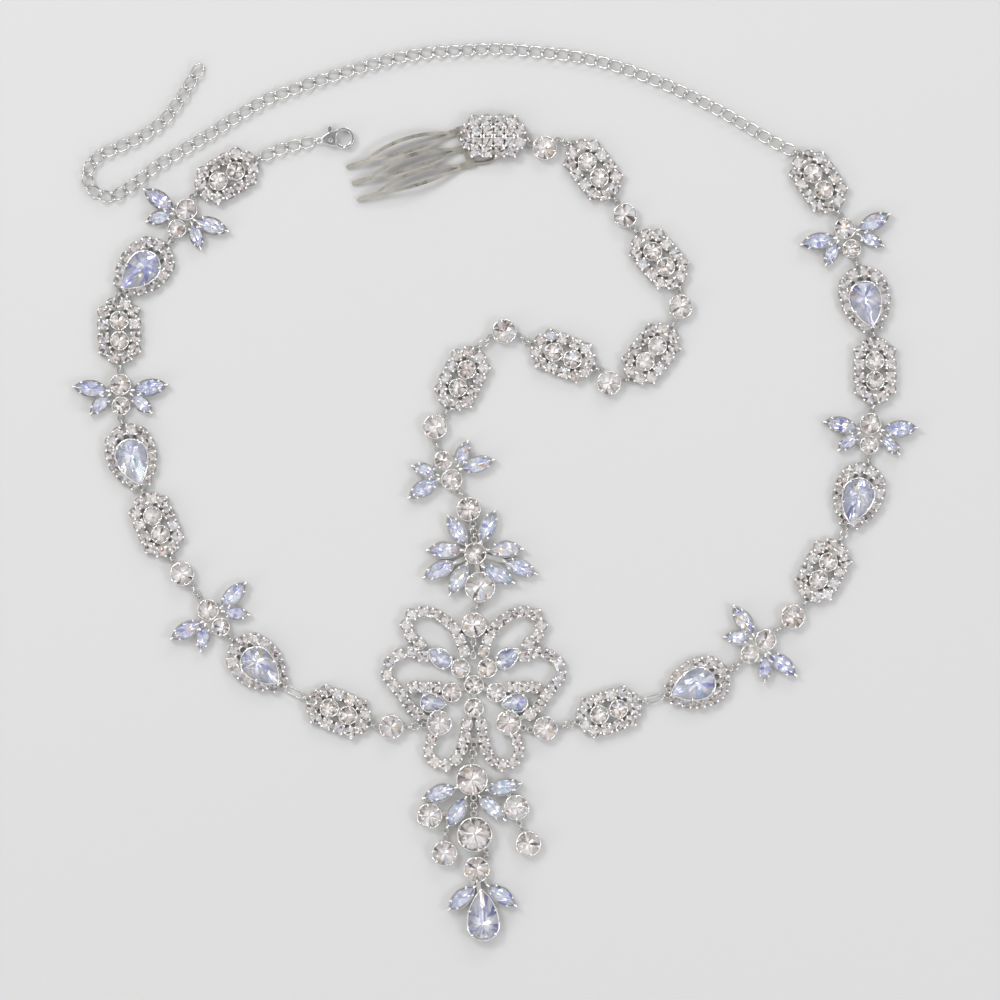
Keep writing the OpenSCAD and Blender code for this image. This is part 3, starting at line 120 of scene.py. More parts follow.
# Pieces of each strand, from the butterfly outwards: kind, straight length of the loose loop before it (-1: a
# single ring), and how far the strand turns in the piece
LEFT = [("round", 0.6, 0), ("oval", -1, 0), ("pear", 4.2, 0), ("wings", -1, 0), ("round", 0, 0),
        ("oval", -1, 0), ("pear", -1, 0), ("wings", -1, 0), ("oval", -1, 0), ("pear", -1, 0),
        ("wings", -1, 0), ("oval", -1, 0)]
RIGHT = [("round", -1, 0), ("oval", 0.6, 0), ("pear", 3.6, 0), ("wings", 0, 0), ("round", -1, 0),
         ("oval", -1, 0), ("pear", 0.6, 0), ("wings", -1, 0), ("oval", -1, 0), ("pear", -1, 0),
         ("wings", -1, 0), ("oval", -1, 0)]
TOP = [("flower", -1, 0), ("round", 0, 0), ("wings_back", -1, 0), ("round", -1, -40), ("oval", -1, 0),
       ("round", 0.6, -44), ("oval", 0, 0), ("round", -1, 70), ("oval", -1, 0), ("round", -1, 24),
       ("oval", -1, 0), ("round", -1, 0), ("oval", -1, 0), ("round", 0, -50), ("comb_oval", -1, 0)]


# ---- layout, as in the solids
def vec(p):
    return np.array(p, float)


def polar(r, a):
    return r * np.array([math.cos(math.radians(a)), math.sin(math.radians(a))])


def heading(v):
    return math.degrees(math.atan2(v[1], v[0]))


def turned(p, a):
    c, s = math.cos(math.radians(a)), math.sin(math.radians(a))
    return np.array([p[0] * c - p[1] * s, p[0] * s + p[1] * c])


def unit(v):
    return v / np.linalg.norm(v)


def cup_r(d):
    """Outer radius of the cup of a round stone."""
    return d / 2 + WALL


def curve(points, steps=8):
    """A smooth line through the points."""
    pts = [vec(p) for p in points]
    last = len(pts) - 1
    path = []
    for i in range(last):
        a, b, c, d = pts[max(i - 1, 0)], pts[i], pts[i + 1], pts[min(i + 2, last)]
        for k in range(steps):
            t = k / steps
            bend = (2 * a - 5 * b + 4 * c - d) * t * t + (3 * b - a - 3 * c + d) * t ** 3
            path.append((2 * b + (c - a) * t + bend) / 2)
    return path + [pts[last]]


def onward(path, at, gap):
    """The next place along a path that lies the gap away, as the crow flies."""
    start, p = at
    k = start + 1
    while k < len(path) - 1 and np.linalg.norm(path[k] - p) < gap:
        k += 1
    a = p if k - 1 == start else path[k - 1]
    d, f = path[k] - a, a - p
    root = max(0.0, (f @ d) ** 2 - (d @ d) * (f @ f - gap * gap))
    return k - 1, a + (-(f @ d) + math.sqrt(root)) / (d @ d) * d


def walk(path, steps):
    """Places along a path at the given steps."""
    at = (0, path[0])
    places = [at[1]]
    for gap in steps:
        at = onward(path, at, gap)
        places.append(at[1])
    return places


def row_of_cups(points):
    """Places of small cups spread evenly along a line."""
    path = curve(points)
    runs = [0.0]
    for a, b in zip(path, path[1:]):
        runs.append(runs[-1] + np.linalg.norm(b - a))
    n = max(1, math.floor(runs[-1] / SMALL_PITCH + 0.5))
    xs, ys = [p[0] for p in path], [p[1] for p in path]
    stops = [runs[-1] * i / n for i in range(n + 1)]
    return [vec((np.interp(s, runs, xs), np.interp(s, runs, ys))) for s in stops]


def stone(shape, place, turn, length, width):
    return (shape, vec(place), turn, length, width)


def round_stone(p, d):
    return stone("round", p, 0, d, d)


def marquise(base, turn, length, width):
    return stone("marquise", vec(base) + polar(length / 2, turn), turn, length, width)


def moved(stones, p, a):
    return [(s[0], p + turned(s[1], a), s[2] + a, s[3], s[4]) for s in stones]


def leaves(rows, r):
    size = (MARQUISE_L, MARQUISE_W)
    return [marquise(polar(share * r, bearing), turn, *size) for bearing, share, turn in rows]


def notch(off):
    """How far an eye stands out between two small cups that lie off the middle line by this much."""
    return math.sqrt((SMALL_CUP_D / 2 + EYE_R + CUP_EYE_ROOT) ** 2 - off ** 2)


oval_eye = OVAL_CUPS[0][0] * SMALL_PITCH + notch(OVAL_CUPS[0][1] * SMALL_PITCH)
pear_near = PEAR_CUPS[0][0] * PEAR_L + notch(PEAR_CUPS[0][1] * PEAR_W)
pear_far = -PEAR_CUPS[-1][0] * PEAR_L + notch(PEAR_CUPS[-1][1] * PEAR_W)
wing_near = cup_r(WING_BACK_D) + EYE_REACH
wing_far = WING_GAP + cup_r(WING_FRONT_D) + EYE_REACH
flower_drop = vec((-cup_r(FLOWER_D) - cup_r(FLOWER_DROP_D) - FLOWER_STEM, -FLOWER_SKEW * FLOWER_D))
single_reach = cup_r(SINGLE_D) + EYE_REACH
NEAR = {"round": single_reach, "pear": pear_near, "wings": wing_near, "wings_back": wing_far - WING_GAP,
        "flower": -flower_drop[0] + cup_r(FLOWER_DROP_D) + EYE_REACH, "oval": oval_eye, "comb_oval": oval_eye}
FAR = {"round": single_reach, "pear": pear_far, "wings": wing_far, "wings_back": wing_near + WING_GAP,
       "flower": cup_r(FLOWER_D) + EYE_REACH, "oval": oval_eye, "comb_oval": oval_eye}


def wing_stones():
    found = [round_stone((0, 0), WING_BACK_D), round_stone((WING_GAP, 0), WING_FRONT_D)]
    for name, share, across, turn in WINGS:
        out = across * cup_r(WING_FRONT_D if name == "large" else WING_BACK_D)
        size = (MARQUISE_L, MARQUISE_W) if name == "large" else (PETAL_L, PETAL_W)
        for s in (-1, 1):
            found.append(marquise((WING_GAP * (1 - share), s * out), s * (180 - turn), *size))
    return found


def stones_of(kind):
    """Large stones of a piece."""
    if kind == "round":
        return [round_stone((0, 0), SINGLE_D)]
    if kind == "pear":
        return [stone("pear", (0, 0), 180, PEAR_L, PEAR_W)]
    if kind == "wings":
        return wing_stones()
    if kind == "wings_back":
        return moved(wing_stones(), vec((WING_GAP, 0)), 180)
    if kind == "flower":
        rounds = [round_stone((0, 0), FLOWER_D), round_stone(flower_drop, FLOWER_DROP_D)]
        return rounds + leaves(FLOWER, cup_r(FLOWER_D))
    if kind == "comb_oval":
        return []
    return [round_stone((s * OVAL_STONE_GAP / 2, 0), OVAL_STONE_D) for s in (-1, 1)]


# Small stones that fill the middle of the oval on the comb, in pitches of small cups, and their height above
# its other small stones
COMB_OVAL_MIDDLE = [(x, y) for y in (-0.41, 0.41) for x in (-1.29, -0.43, 0.43, 1.29)]
COMB_OVAL_LIFT = 0.7


def cups_of(kind):
    """Places of the small cups round a piece."""
    if kind in ("oval", "comb_oval"):
        return [vec((x * sx, y * sy)) * SMALL_PITCH for x, y in OVAL_CUPS for sx in (-1, 1) for sy in (-1, 1)]
    if kind == "pear":
        return [vec((-x * PEAR_L, s * y * PEAR_W)) for x, y in PEAR_CUPS for s in (-1, 1)]
    return []


FLANK_TURNS, FOOT_EYE_Y = {1: -18, -1: -8}, -16.4
head_eye = vec(HEAD) + vec((0, cup_r(HEAD_D) + EYE_REACH))
foot_eye = vec((0, FOOT_EYE_Y))


def mirrored(p, s):
    return vec((p[0] * s, p[1]))


def flank_eye(s):
    return mirrored(vec(FLANK) + polar(cup_r(FLANK_D) + EYE_REACH, FLANK_TURNS[s]), s)


def strand_path(start, route):
    path = curve([start + vec(p) for p in route])
    return path + [path[-1] + unit(path[-1] - path[-2]) * ROUTE_SPARE]


def strand_steps(strand):
    """Distances between the eyes of a strand, in turn across a joint and across a piece."""
    steps = []
    for kind, loop, bend in strand:
        steps.append(SHORT_STEP if loop < 0 else 2 * LOOP_STEP + loop)
        steps.append((NEAR[kind] + FAR[kind]) * math.cos(math.radians(bend / 2)))
    return steps


class Strand:
    """Pieces of one strand: kind, place and direction of each."""

    def __init__(self, start, route, rows, chain=0):
        self.rows = rows
        steps = strand_steps(rows)
        if chain:
            curb_a = CURB_L / 2 - CURB_WIRE_R
            step = 2 * curb_a - 2 * CURB_WIRE_R - CURB_PLAY
            steps = steps + [EYE_OUT + CURB_WIRE_R + EYE_GAP + curb_a - step / 2] + [step] * chain
        places = walk(strand_path(start, route), steps)
        self.eyes = places[:2 * len(rows) + 1]
        self.links = places[2 * len(rows) + 1:]
        self.pieces = []
        for i, (kind, loop, bend) in enumerate(rows):
            turn = heading(self.eyes[2 * i + 2] - self.eyes[2 * i + 1]) - bend / 2
            self.pieces.append((kind, self.eyes[2 * i + 1] + polar(NEAR[kind], turn), turn))


left = Strand(flank_eye(-1), LEFT_ROUTE, LEFT, CLASP_LINKS + 1)
right = Strand(flank_eye(1), RIGHT_ROUTE, RIGHT, EXTENSION_LINKS)
top = Strand(head_eye, TOP_ROUTE, TOP)


# ---- meshes
class Build:
    """Collects faces of one piece, in mm."""

    def __init__(self):
        self.points, self.faces, self.slots, self.tints, self.smooth = [], [], [], [], []
        self.count = 0

    def add(self, points, faces, slot=0, tints=None, smooth=False):
        base = self.count
        self.points.append(np.array(points, float))
        self.count += len(points)
        for k, face in enumerate(faces):
            self.faces.append(tuple(base + i for i in face))
            self.slots.append(slot if isinstance(slot, int) else slot[k])
            self.tints.append((1, 1, 1) if tints is None else tints[k])
            self.smooth.append(smooth)

    def make(self, name, materials, slot_name, body="chain", replaces=()):
        mesh = bpy.data.meshes.new(name)
        points = np.concatenate(self.points) * MM
        mesh.from_pydata(points.tolist(), [], self.faces)
        for m in materials:
            mesh.materials.append(m)
        mesh.polygons.foreach_set("material_index", self.slots)
        mesh.polygons.foreach_set("use_smooth", self.smooth)
        # Colour of each facet: painted reflections and fire, and the lavender stones' own tint
        tint = mesh.color_attributes.new("tint", "FLOAT_COLOR", "CORNER")
        data = []
        for face, colour in zip(self.faces, self.tints):
            data.extend([*colour, 1.0] * len(face))
        tint.data.foreach_set("color", np.array(data, np.float32))
        mesh.update()
        obj = bpy.data.objects.new(name, mesh)
        bpy.context.scene.collection.objects.link(obj)
        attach(obj, body)
        if replaces:
            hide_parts(*replaces)


def outline(shape, length, width, a):
    """The edge of a stone at an angle."""
    c, s = math.cos(math.radians(a)), math.sin(math.radians(a))
    if shape == "round":
        return vec((width / 2 * c, width / 2 * s))
    if shape == "marquise":
        return vec((length / 2 * c, width / 2 * s * abs(s)))
    if c > 0:
        return vec(((length - width / 2) * c, width / 2 * s * abs(s) ** PEAR_FULLNESS))
    return vec((width / 2 * c, width / 2 * s))


# How much darker or lighter each facet's painted reflection colour is made, at random
DARKEST_PAINTED_FACET, LIGHTEST_PAINTED_FACET = 0.9, 1.1


def pick(rng, sparkle_palette):
    """A painted facet colour, standing in for a reflection or a spark of fire, drawn from a palette of
    (weight, colour) and made a little lighter or darker.
    """
    value = rng.random() * sum(weight for weight, colour in sparkle_palette)
    for weight, colour in sparkle_palette:
        value -= weight
        if value <= 0:
            break
    painted_facet_light = DARKEST_PAINTED_FACET + (LIGHTEST_PAINTED_FACET - DARKEST_PAINTED_FACET) * rng.random()
    return tuple(min(1.0, c * painted_facet_light) for c in colour)


# Painted colours of the facets, standing in for the white and dark reflections and the orange and blue fire
# that the cut catches, and for the lavender stones also their own tint: weight, colour
CRYSTAL_PAINTED_SPARKLE = [(56, (1.0, 0.985, 0.98)), (20, (0.98, 0.91, 0.89)), (9, (0.82, 0.75, 0.74)),
                 (7, (0.54, 0.46, 0.44)), (4, (0.26, 0.22, 0.22)), (2, (1.0, 0.8, 0.58)),
                 (2, (0.74, 0.78, 1.0))]
SMALL_PAINTED_SPARKLE = [(62, (1.0, 0.99, 0.99)), (14, (0.97, 0.91, 0.9)), (9, (0.66, 0.6, 0.59)),
               (10, (0.24, 0.2, 0.2)), (2, (1.0, 0.82, 0.64)), (3, (0.76, 0.82, 1.0))]
LAVENDER_TINT_AND_PAINTED_SPARKLE = [(38, (0.88, 0.895, 1.0)), (38, (0.98, 0.98, 1.0)), (12, (0.76, 0.78, 0.98)),
                  (7, (0.46, 0.48, 0.82)), (1.2, (1.0, 0.66, 0.42)), (1.2, (1.0, 0.92, 0.7)),
                  (2.6, (0.66, 0.86, 1.0))]


# Places of a brilliant's corners: shares of the outline, and of the crown's height or the pavilion's depth
TABLE, STAR, STAR_UP, LOWER, LOWER_DOWN, EDGE_SHARE = 0.56, 0.78, 0.56, 0.34, 0.72, 0.02


def gem(build, s, girdle, depth, crown, n, rng, sparkle_palette):
    """A brilliant-cut stone: glass crown (slot 0) over a foiled pavilion (slot 1), every facet carrying a
    painted colour that stands in for the reflections and fire it catches.
    """
    shape, place, turn, length, width = s
    half = n // 2
    out = [outline(shape, length, width, 360 * i / n) for i in range(n)]
    edge = EDGE_SHARE * width
    pts, faces, slots, tints = [], [], [], []
    for i in range(half):
        pts.append((*(out[2 * i] * TABLE), crown))
    for i in range(half):
        pts.append((*(out[2 * i + 1] * STAR), crown * STAR_UP))
    for p in out:
        pts.append((*p, edge))
    for p in out:
        pts.append((*p, -edge))
    for i in range(half):
        pts.append((*(out[2 * i + 1] * LOWER), -depth * LOWER_DOWN))
    pts.append((0, 0, -depth))
    # first corner of the table, the stars, the upper and lower girdle, the pavilion, and the point below
    table, star, upper, lower = 0, half, 2 * half, 2 * half + n
    pavilion = lower + n
    point = pavilion + half

    def put(face, slot):
        faces.append(face)
        slots.append(slot)
        # each facet gets a painted reflection colour
        tints.append(pick(rng, sparkle_palette))

    put([table + i for i in range(half)], 0)
    for i in range(half):
        after, before = (i + 1) % half, (i - 1) % half
        even, odd, even_after = 2 * i, 2 * i + 1, (2 * i + 2) % n
        put((table + i, star + i, table + after), 0)
        put((table + i, star + before, upper + even, star + i), 0)
        put((star + i, upper + even, upper + odd), 0)
        put((star + i, upper + odd, upper + even_after), 0)
        put((point, pavilion + i, lower + even, pavilion + before), 1)
        put((pavilion + i, lower + odd, lower + even), 1)
        put((pavilion + i, lower + even_after, lower + odd), 1)
    for k in range(n):
        after = (k + 1) % n
        put((lower + k, lower + after, upper + after, upper + k), 1)
    placed = []
    for x, y, z in pts:
        q = turned((x, y), turn)
        placed.append((place[0] + q[0], place[1] + q[1], girdle + z))
    build.add(placed, faces, slots, tints)


def tube(build, path, radii, sides=8, flat=1.0, ends=True):
    """A bar along a path, with a radius at each point."""
    path = [vec(p) for p in path]
    pts, faces = [], []
    for i, p in enumerate(path):
        t = unit(path[min(i + 1, len(path) - 1)] - path[max(i - 1, 0)])
        side = np.cross(t, (0, 0, 1))
        side = unit(side) if np.linalg.norm(side) > 1e-6 else vec((1, 0, 0))
        up = np.cross(side, t)
        for k in range(sides):
            a = 2 * math.pi * k / sides
            pts.append(p + radii[i] * (side * math.cos(a) + up * math.sin(a) * flat))
    for i in range(len(path) - 1):
        here, ahead = i * sides, (i + 1) * sides
        for k in range(sides):
            after = (k + 1) % sides
            faces.append((here + k, here + after, ahead + after, ahead + k))
    if ends:
        faces.append(tuple(reversed(range(sides))))
        last = (len(path) - 1) * sides
        faces.append(tuple(last + k for k in range(sides)))
    build.add(pts, faces, smooth=True)


def ball(build, p, r, rings=5, sides=10, squeeze=1.0):
    """A round end of a prong."""
    pts, faces = [(p[0], p[1], p[2] - r * squeeze)], []
    for i in range(1, rings):
        a = math.pi * i / rings
        for k in range(sides):
            b = 2 * math.pi * k / sides
            across, up = r * math.sin(a), -r * squeeze * math.cos(a)
            pts.append((p[0] + across * math.cos(b), p[1] + across * math.sin(b), p[2] + up))
    pts.append((p[0], p[1], p[2] + r * squeeze))
    top_at = len(pts) - 1
    for k in range(sides):
        after = (k + 1) % sides
        faces.append((0, 1 + after, 1 + k))
        for i in range(rings - 2):
            here, above = 1 + i * sides, 1 + (i + 1) * sides
            faces.append((here + k, here + after, above + after, above + k))
        end = 1 + (rings - 2) * sides
        faces.append((end + k, end + after, top_at))
    build.add(pts, faces, smooth=True)


# Shape of a prong: where its shoulder lies, its nose in wire radii, and its thickness from foot to nose
SHOULDER_IN, SHOULDER_DOWN, NOSE_IN, NOSE_DOWN, CLAW_TAPER = 0.28, 0.1, 0.45, 0.1, (1, 1, 0.92, 0.8, 0.35)


def claw(build, centre, a, r_out, r_in, z0, z1, z2, w, sides=8):
    """A prong that stands at the rim and bends over the edge of the stone."""
    d = polar(1, a)

    def at(r, z):
        return (*(centre + d * r), z)

    shoulder = at(r_out - SHOULDER_IN * (r_out - r_in), z2 - SHOULDER_DOWN * (z2 - z1))
    path = [at(r_out, z0), at(r_out, z1), shoulder, at(r_in, z2), at(r_in - w * NOSE_IN, z2 - w * NOSE_DOWN)]
    tube(build, path, [w * share for share in CLAW_TAPER], sides)


FIRST_TURN, TURN_TRIES, LEAST_GAIN = 45.0, 24, 0.5


def claw_turn(place, others, n, reach):
    """The turn that keeps n claws farthest from the neighbours."""
    near = [heading(o - place) for o in others if 0.1 < np.linalg.norm(o - place) < reach]
    best, best_gap = FIRST_TURN, -1.0
    step = 360 / n
    for k in range(TURN_TRIES):
        a = FIRST_TURN + step * k / TURN_TRIES
        gap = min([min((b - a) % step, (a - b) % step) for b in near], default=step)
        if gap > best_gap + LEAST_GAIN:
            best, best_gap = a, gap
    return best


# The stone of a small cup: its girdle above the cup's base, its depth, its crown and its number of sides
SMALL_GIRDLE, SMALL_DEPTH, SMALL_CROWN, SMALL_SIDES = 1.95, 1.25, 0.6, 12
# The prongs of a small cup: distance of foot and tip from its middle, heights from its base, heights from the
# girdle, radii, and the ball on the tip
PRONG_FOOT, PRONG_TIP, PRONG_LOW, PRONG_BEND, PRONG_HIGH = 1.98, 1.74, 0.7, -0.1, 0.2
PRONG_WIRE, PRONG_SIDES, PRONG_BALL, PRONG_BALL_UP, PRONG_BALL_SQUEEZE = [0.36, 0.36, 0.34], 7, 0.4, 0.24, 0.8


def small_cup(stones, claws, place, z, turn, rng):
    """The stone and the four prongs of a small cup."""
    girdle = z + SMALL_GIRDLE
    s = ("round", place, rng.random() * 360, SMALL_STONE_D, SMALL_STONE_D)
    # the small stone's facets get painted reflection colours
    gem(stones, s, girdle, SMALL_DEPTH, SMALL_CROWN, SMALL_SIDES, rng, SMALL_PAINTED_SPARKLE)
    for k in range(4):
        foot, tip = place + polar(PRONG_FOOT, turn + 90 * k), place + polar(PRONG_TIP, turn + 90 * k)
        path = [(*foot, z + PRONG_LOW), (*foot, girdle + PRONG_BEND), (*tip, girdle + PRONG_HIGH)]
        tube(claws, path, PRONG_WIRE, PRONG_SIDES, ends=False)
        ball(claws, (*tip, girdle + PRONG_BALL_UP), PRONG_BALL, 5, 8, PRONG_BALL_SQUEEZE)


def girdle_z(s):
    """Height of a stone's girdle above the base of its cup."""
    return FLOOR_T + SEAT_GAP + DEPTH_SHARE[s[0]] * s[4]


# Prongs of a round stone: how far in they reach, their stand beyond the girdle, their foot below it, their
# height above the crown there, their least radius, and what they gain with a stone's width
GRIP_SHARE, GRIP_OUT, GRIP_LOW, GRIP_UP, GRIP_WIRE, GRIP_GAIN = 0.9, 0.26, 0.7, 0.16, 0.24, 0.01


def round_claws(claws, s, z, turn, n):
    r, g = s[4] / 2, z + girdle_z(s)
    r_in = r * GRIP_SHARE
    over = CROWN_SHARE["round"] * s[4] * STAR_UP * (r - r_in) / (r * (1 - STAR))
    wire = GRIP_WIRE + GRIP_GAIN * s[4]
    for k in range(n):
        claw(claws, s[1], turn + 360 * k / n, r + GRIP_OUT, r_in, g - GRIP_LOW, g, g + over + GRIP_UP, wire)


def rim(build, centre, r, z, w, sides=48, ring=8):
    """A thin rounded rim round a stone."""
    pts, faces = [], []
    for i in range(sides):
        a = 2 * math.pi * i / sides
        for k in range(ring):
            b = 2 * math.pi * k / ring
            out = r + w * math.cos(b)
            pts.append((centre[0] + out * math.cos(a), centre[1] + out * math.sin(a), z + w * math.sin(b)))
    for i in range(sides):
        here, ahead = i * ring, (i + 1) % sides * ring
        for k in range(ring):
            after = (k + 1) % ring
            faces.append((here + k, ahead + k, ahead + after, here + after))
    build.add(pts, faces, smooth=True)


# Prongs of a marquise or a pear: bearings of the side ones, and their feet below the girdle
MARQUISE_CLAWS, MARQUISE_FOOT, PEAR_FOOT = (52, 128, 232, 308), 0.9, 1.5
# End prongs: ball, wire, how far in they reach, and their rise there
END_BALL, END_WIRE, END_IN, END_RISE = 0.42, [0.34, 0.2], 0.5, 0.05
# Side prongs: share of the edge they lean to, how far towards it their ball lies, ball, rise of it, and wire
EDGE_REACH, LEAN, SIDE_BALL, SIDE_RISE, SIDE_WIRE, SIDE_BEND = 0.9, 0.55, 0.36, 0.02, [0.26, 0.28, 0.3], 0.2
# The rim round a pear: its width and length beyond the stone's, its depth below the girdle, and its radius
PEAR_RIM_MORE, PEAR_RIM_DOWN, PEAR_RIM_R, PEAR_RIM_STEPS = 0.5, 0.35, 0.24, 40


def pointed_claws(claws, s, z):
    """Ball-topped prongs of a marquise or a pear."""
    shape, place, turn, length, width = s
    g = z + girdle_z(s)
    out = SEAT_GAP + CLAW_R
    if shape == "marquise":
        for side in (-1, 1):
            q = place + turned((side * (length / 2 + out), 0), turn)
            ball(claws, (*q, g + CLAW_RISE), END_BALL)
            inner = place + turned((side * (length / 2 - END_IN), 0), turn)
            tube(claws, [(*q, g + CLAW_RISE), (*inner, g + CLAW_RISE + END_RISE)], END_WIRE)
        angles, low = MARQUISE_CLAWS, g - MARQUISE_FOOT
    else:
        edge = []
        for i in range(PEAR_RIM_STEPS):
            p = outline(shape, length + PEAR_RIM_MORE, width + PEAR_RIM_MORE, 360 * i / PEAR_RIM_STEPS)
            edge.append(vec((*(place + turned(p, turn)), g - PEAR_RIM_DOWN)))
        closed(claws, edge, PEAR_RIM_R, 8)
        angles, low = PEAR_CLAWS, g - PEAR_FOOT
    for a in angles:
        foot = outline(shape, length + 2 * out, width + 2 * out, a)
        q = place + turned(foot, turn)
        e = place + turned(outline(shape, length, width, a) * EDGE_REACH, turn)
        tube(claws, [(*q, low), (*q, g + SIDE_BEND), (*((q + e) / 2), g + CLAW_RISE)], SIDE_WIRE)
        ball(claws, (*((1 - LEAN) * q + LEAN * e), g + CLAW_RISE + SIDE_RISE), SIDE_BALL)


def link(build, p, q, twist, steps=40, sides=10):
    """One link of twisted wire."""
    middle, turn = (p + q) / 2, heading(q - p)
    half_l, half_w = CURB_L / 2 - CURB_WIRE_R, CURB_W / 2 - CURB_WIRE_R
    line = []
    for i in range(steps):
        t = 2 * math.pi * i / steps
        xy = turned((half_l * math.cos(t), half_w * math.sin(t)), turn)
        z = TURN_TWIST + CURB_WIRE_R + twist * math.sin(2 * t)
        line.append(vec((middle[0] + xy[0], middle[1] + xy[1], z)))
    closed(build, line, CURB_WIRE_R, sides)


def closed(build, centre, r, sides=10):
    """A closed ring of wire along a line of points."""
    n = len(centre)
    pts, faces = [], []
    middle = sum(centre) / n
    for i in range(n):
        t = unit(centre[(i + 1) % n] - centre[i - 1])
        s = unit(centre[i] - middle - t * ((centre[i] - middle) @ t))
        u = np.cross(t, s)
        for k in range(sides):
            a = 2 * math.pi * k / sides
            pts.append(centre[i] + r * (s * math.cos(a) + u * math.sin(a)))
    for i in range(n):
        here, ahead = i * sides, (i + 1) % n * sides
        for k in range(sides):
            after = (k + 1) % sides
            faces.append((here + k, here + after, ahead + after, ahead + k))
    build.add(pts, faces, smooth=True)


def ring(build, centre, turn, r, wire, steps=32):
    """A ring on edge."""
    d = polar(1, turn)
    line = []
    for i in range(steps):
        a = 2 * math.pi * i / steps
        across = r * math.cos(a)
        line.append(vec((centre[0] + d[0] * across, centre[1] + d[1] * across, centre[2] + r * math.sin(a))))
    closed(build, line, wire)


END_STEPS, NEARLY, LOOP_SPARE = 14, 1e-6, 0.01


def flat_loop(build, p, q, loop):
    """A flat loop with round ends, between two rings."""
    middle, turn = (p + q) / 2, heading(q - p)
    r = (LOOP_R + LOOP_OUT) / 2
    line = []
    for side in (1, -1):
        for i in range(END_STEPS + 1):
            end = vec((loop / 2, 0)) + polar(r, -90 + 180 * i / END_STEPS)
            xy = turned(side * end, turn)
            line.append(vec((middle[0] + xy[0], middle[1] + xy[1], MID_Z)))
    # without a straight part the two ends share their corners, and one of each is kept
    kept = [line[0]]
    for point in line[1:]:
        if np.linalg.norm(point - kept[-1]) > NEARLY:
            kept.append(point)
    if np.linalg.norm(kept[-1] - kept[0]) < NEARLY:
        kept.pop()
    closed(build, kept, EYE_T / 2 + LOOP_SPARE)


def joint(build, p, q, loop):
    """A ring on edge, or two with a flat loop between them."""
    if loop < 0:
        ring(build, (*((p + q) / 2), MID_Z), heading(q - p), RING_R, RING_WIRE_R)
        return
    step = unit(q - p) * LOOP_STEP
    flat_loop(build, p, q, loop)
    ring(build, (*(p + step / 2), MID_Z), heading(step), RING_R, RING_WIRE_R)
    ring(build, (*(q - step / 2), MID_Z), heading(step), RING_R, RING_WIRE_R)


def coupler(build, p, turn):
    """The ring that joins a chain to a piece or to the clasp."""
    r = RING_R + COUPLER_PLAY
    xy = p + polar(EYE_OUT + COUPLER_SHIFT, turn)
    ring(build, (*xy, r + RING_WIRE_R + COUPLER_LIFT), turn, r, RING_WIRE_R)


# ---- materials
def new_material(name):
    m = bpy.data.materials.new(name)
    m.use_nodes = True
    tree = m.node_tree
    return m, tree, tree.nodes["Principled BSDF"]


def noise(tree, scale, detail=3.0, rough=0.55):
    coord = tree.nodes.new("ShaderNodeTexCoord")
    tex = tree.nodes.new("ShaderNodeTexNoise")
    tex.inputs["Scale"].default_value = scale
    tex.inputs["Detail"].default_value = detail
    tex.inputs["Roughness"].default_value = rough
    tree.links.new(coord.outputs["Object"], tex.inputs["Vector"])
    return tex.outputs["Fac"]


def ramp(tree, source, stops):
    node = tree.nodes.new("ShaderNodeValToRGB")
    elements = node.color_ramp.elements
    for element, (pos, colour) in zip(elements, (stops[0], stops[-1])):
        element.position, element.color = pos, (*colour, 1)
    for pos, colour in stops[1:-1]:
        elements.new(pos).color = (*colour, 1)
    tree.links.new(source, node.inputs["Fac"])
    return node.outputs["Color"]


def spread(tree, source, low, high):
    """Stretches the middle of a noise to a range."""
    node = tree.nodes.new("ShaderNodeMapRange")
    node.inputs["From Min"].default_value, node.inputs["From Max"].default_value = 0.3, 0.7
    node.inputs["To Min"].default_value, node.inputs["To Max"].default_value = low, high
    tree.links.new(source, node.inputs["Value"])
    return node.outputs["Result"]


def bump(tree, source, strength, distance):
    node = tree.nodes.new("ShaderNodeBump")
    node.inputs["Strength"].default_value = strength
    node.inputs["Distance"].default_value = distance
    tree.links.new(source, node.inputs["Height"])
    return node.outputs["Normal"]


# Metal: size of its tones and its grain beside its polish, where its tones end, and least and most roughness
TONE_SCALE, GRAIN_SCALE, DARK_END, LIGHT_FROM, SMOOTHEST, ROUGHEST = 0.4, 2.5, 0.35, 0.6, 0.6, 1.5


def metal(name, light, dark, rough, bump_mm, scale=900):
    """Plated metal: patches of two tones, uneven polish and a fine grain."""
    m, tree, bsdf = new_material(name)
    bsdf.inputs["Metallic"].default_value = 1.0
    tone = ramp(tree, noise(tree, scale * TONE_SCALE, 4), [(DARK_END, dark), (LIGHT_FROM, light)])
    polish = spread(tree, noise(tree, scale, 3), rough * SMOOTHEST, rough * ROUGHEST)
    grain = bump(tree, noise(tree, scale * GRAIN_SCALE, 5), 0.5, bump_mm * MM)
    tree.links.new(tone, bsdf.inputs["Base Color"])
    tree.links.new(polish, bsdf.inputs["Roughness"])
    tree.links.new(grain, bsdf.inputs["Normal"])
    return m


def glass(name, colour, ior):
    m, _, bsdf = new_material(name)
    bsdf.inputs["Base Color"].default_value = (*colour, 1)
    bsdf.inputs["Roughness"].default_value = 0.0
    bsdf.inputs["IOR"].default_value = ior
    bsdf.inputs["Transmission Weight"].default_value = 1.0
    return m


def foil(name, rough, metallic):
    """The foiled back of a stone, coloured facet by facet with painted reflections and fire, and the lavender
    stones' own tint.
    """
    m, tree, bsdf = new_material(name)
    attr = tree.nodes.new("ShaderNodeAttribute")
    attr.attribute_name = "tint"
    tree.links.new(attr.outputs["Color"], bsdf.inputs["Base Color"])
    bsdf.inputs["Metallic"].default_value = metallic
    bsdf.inputs["Roughness"].default_value = rough
    return m


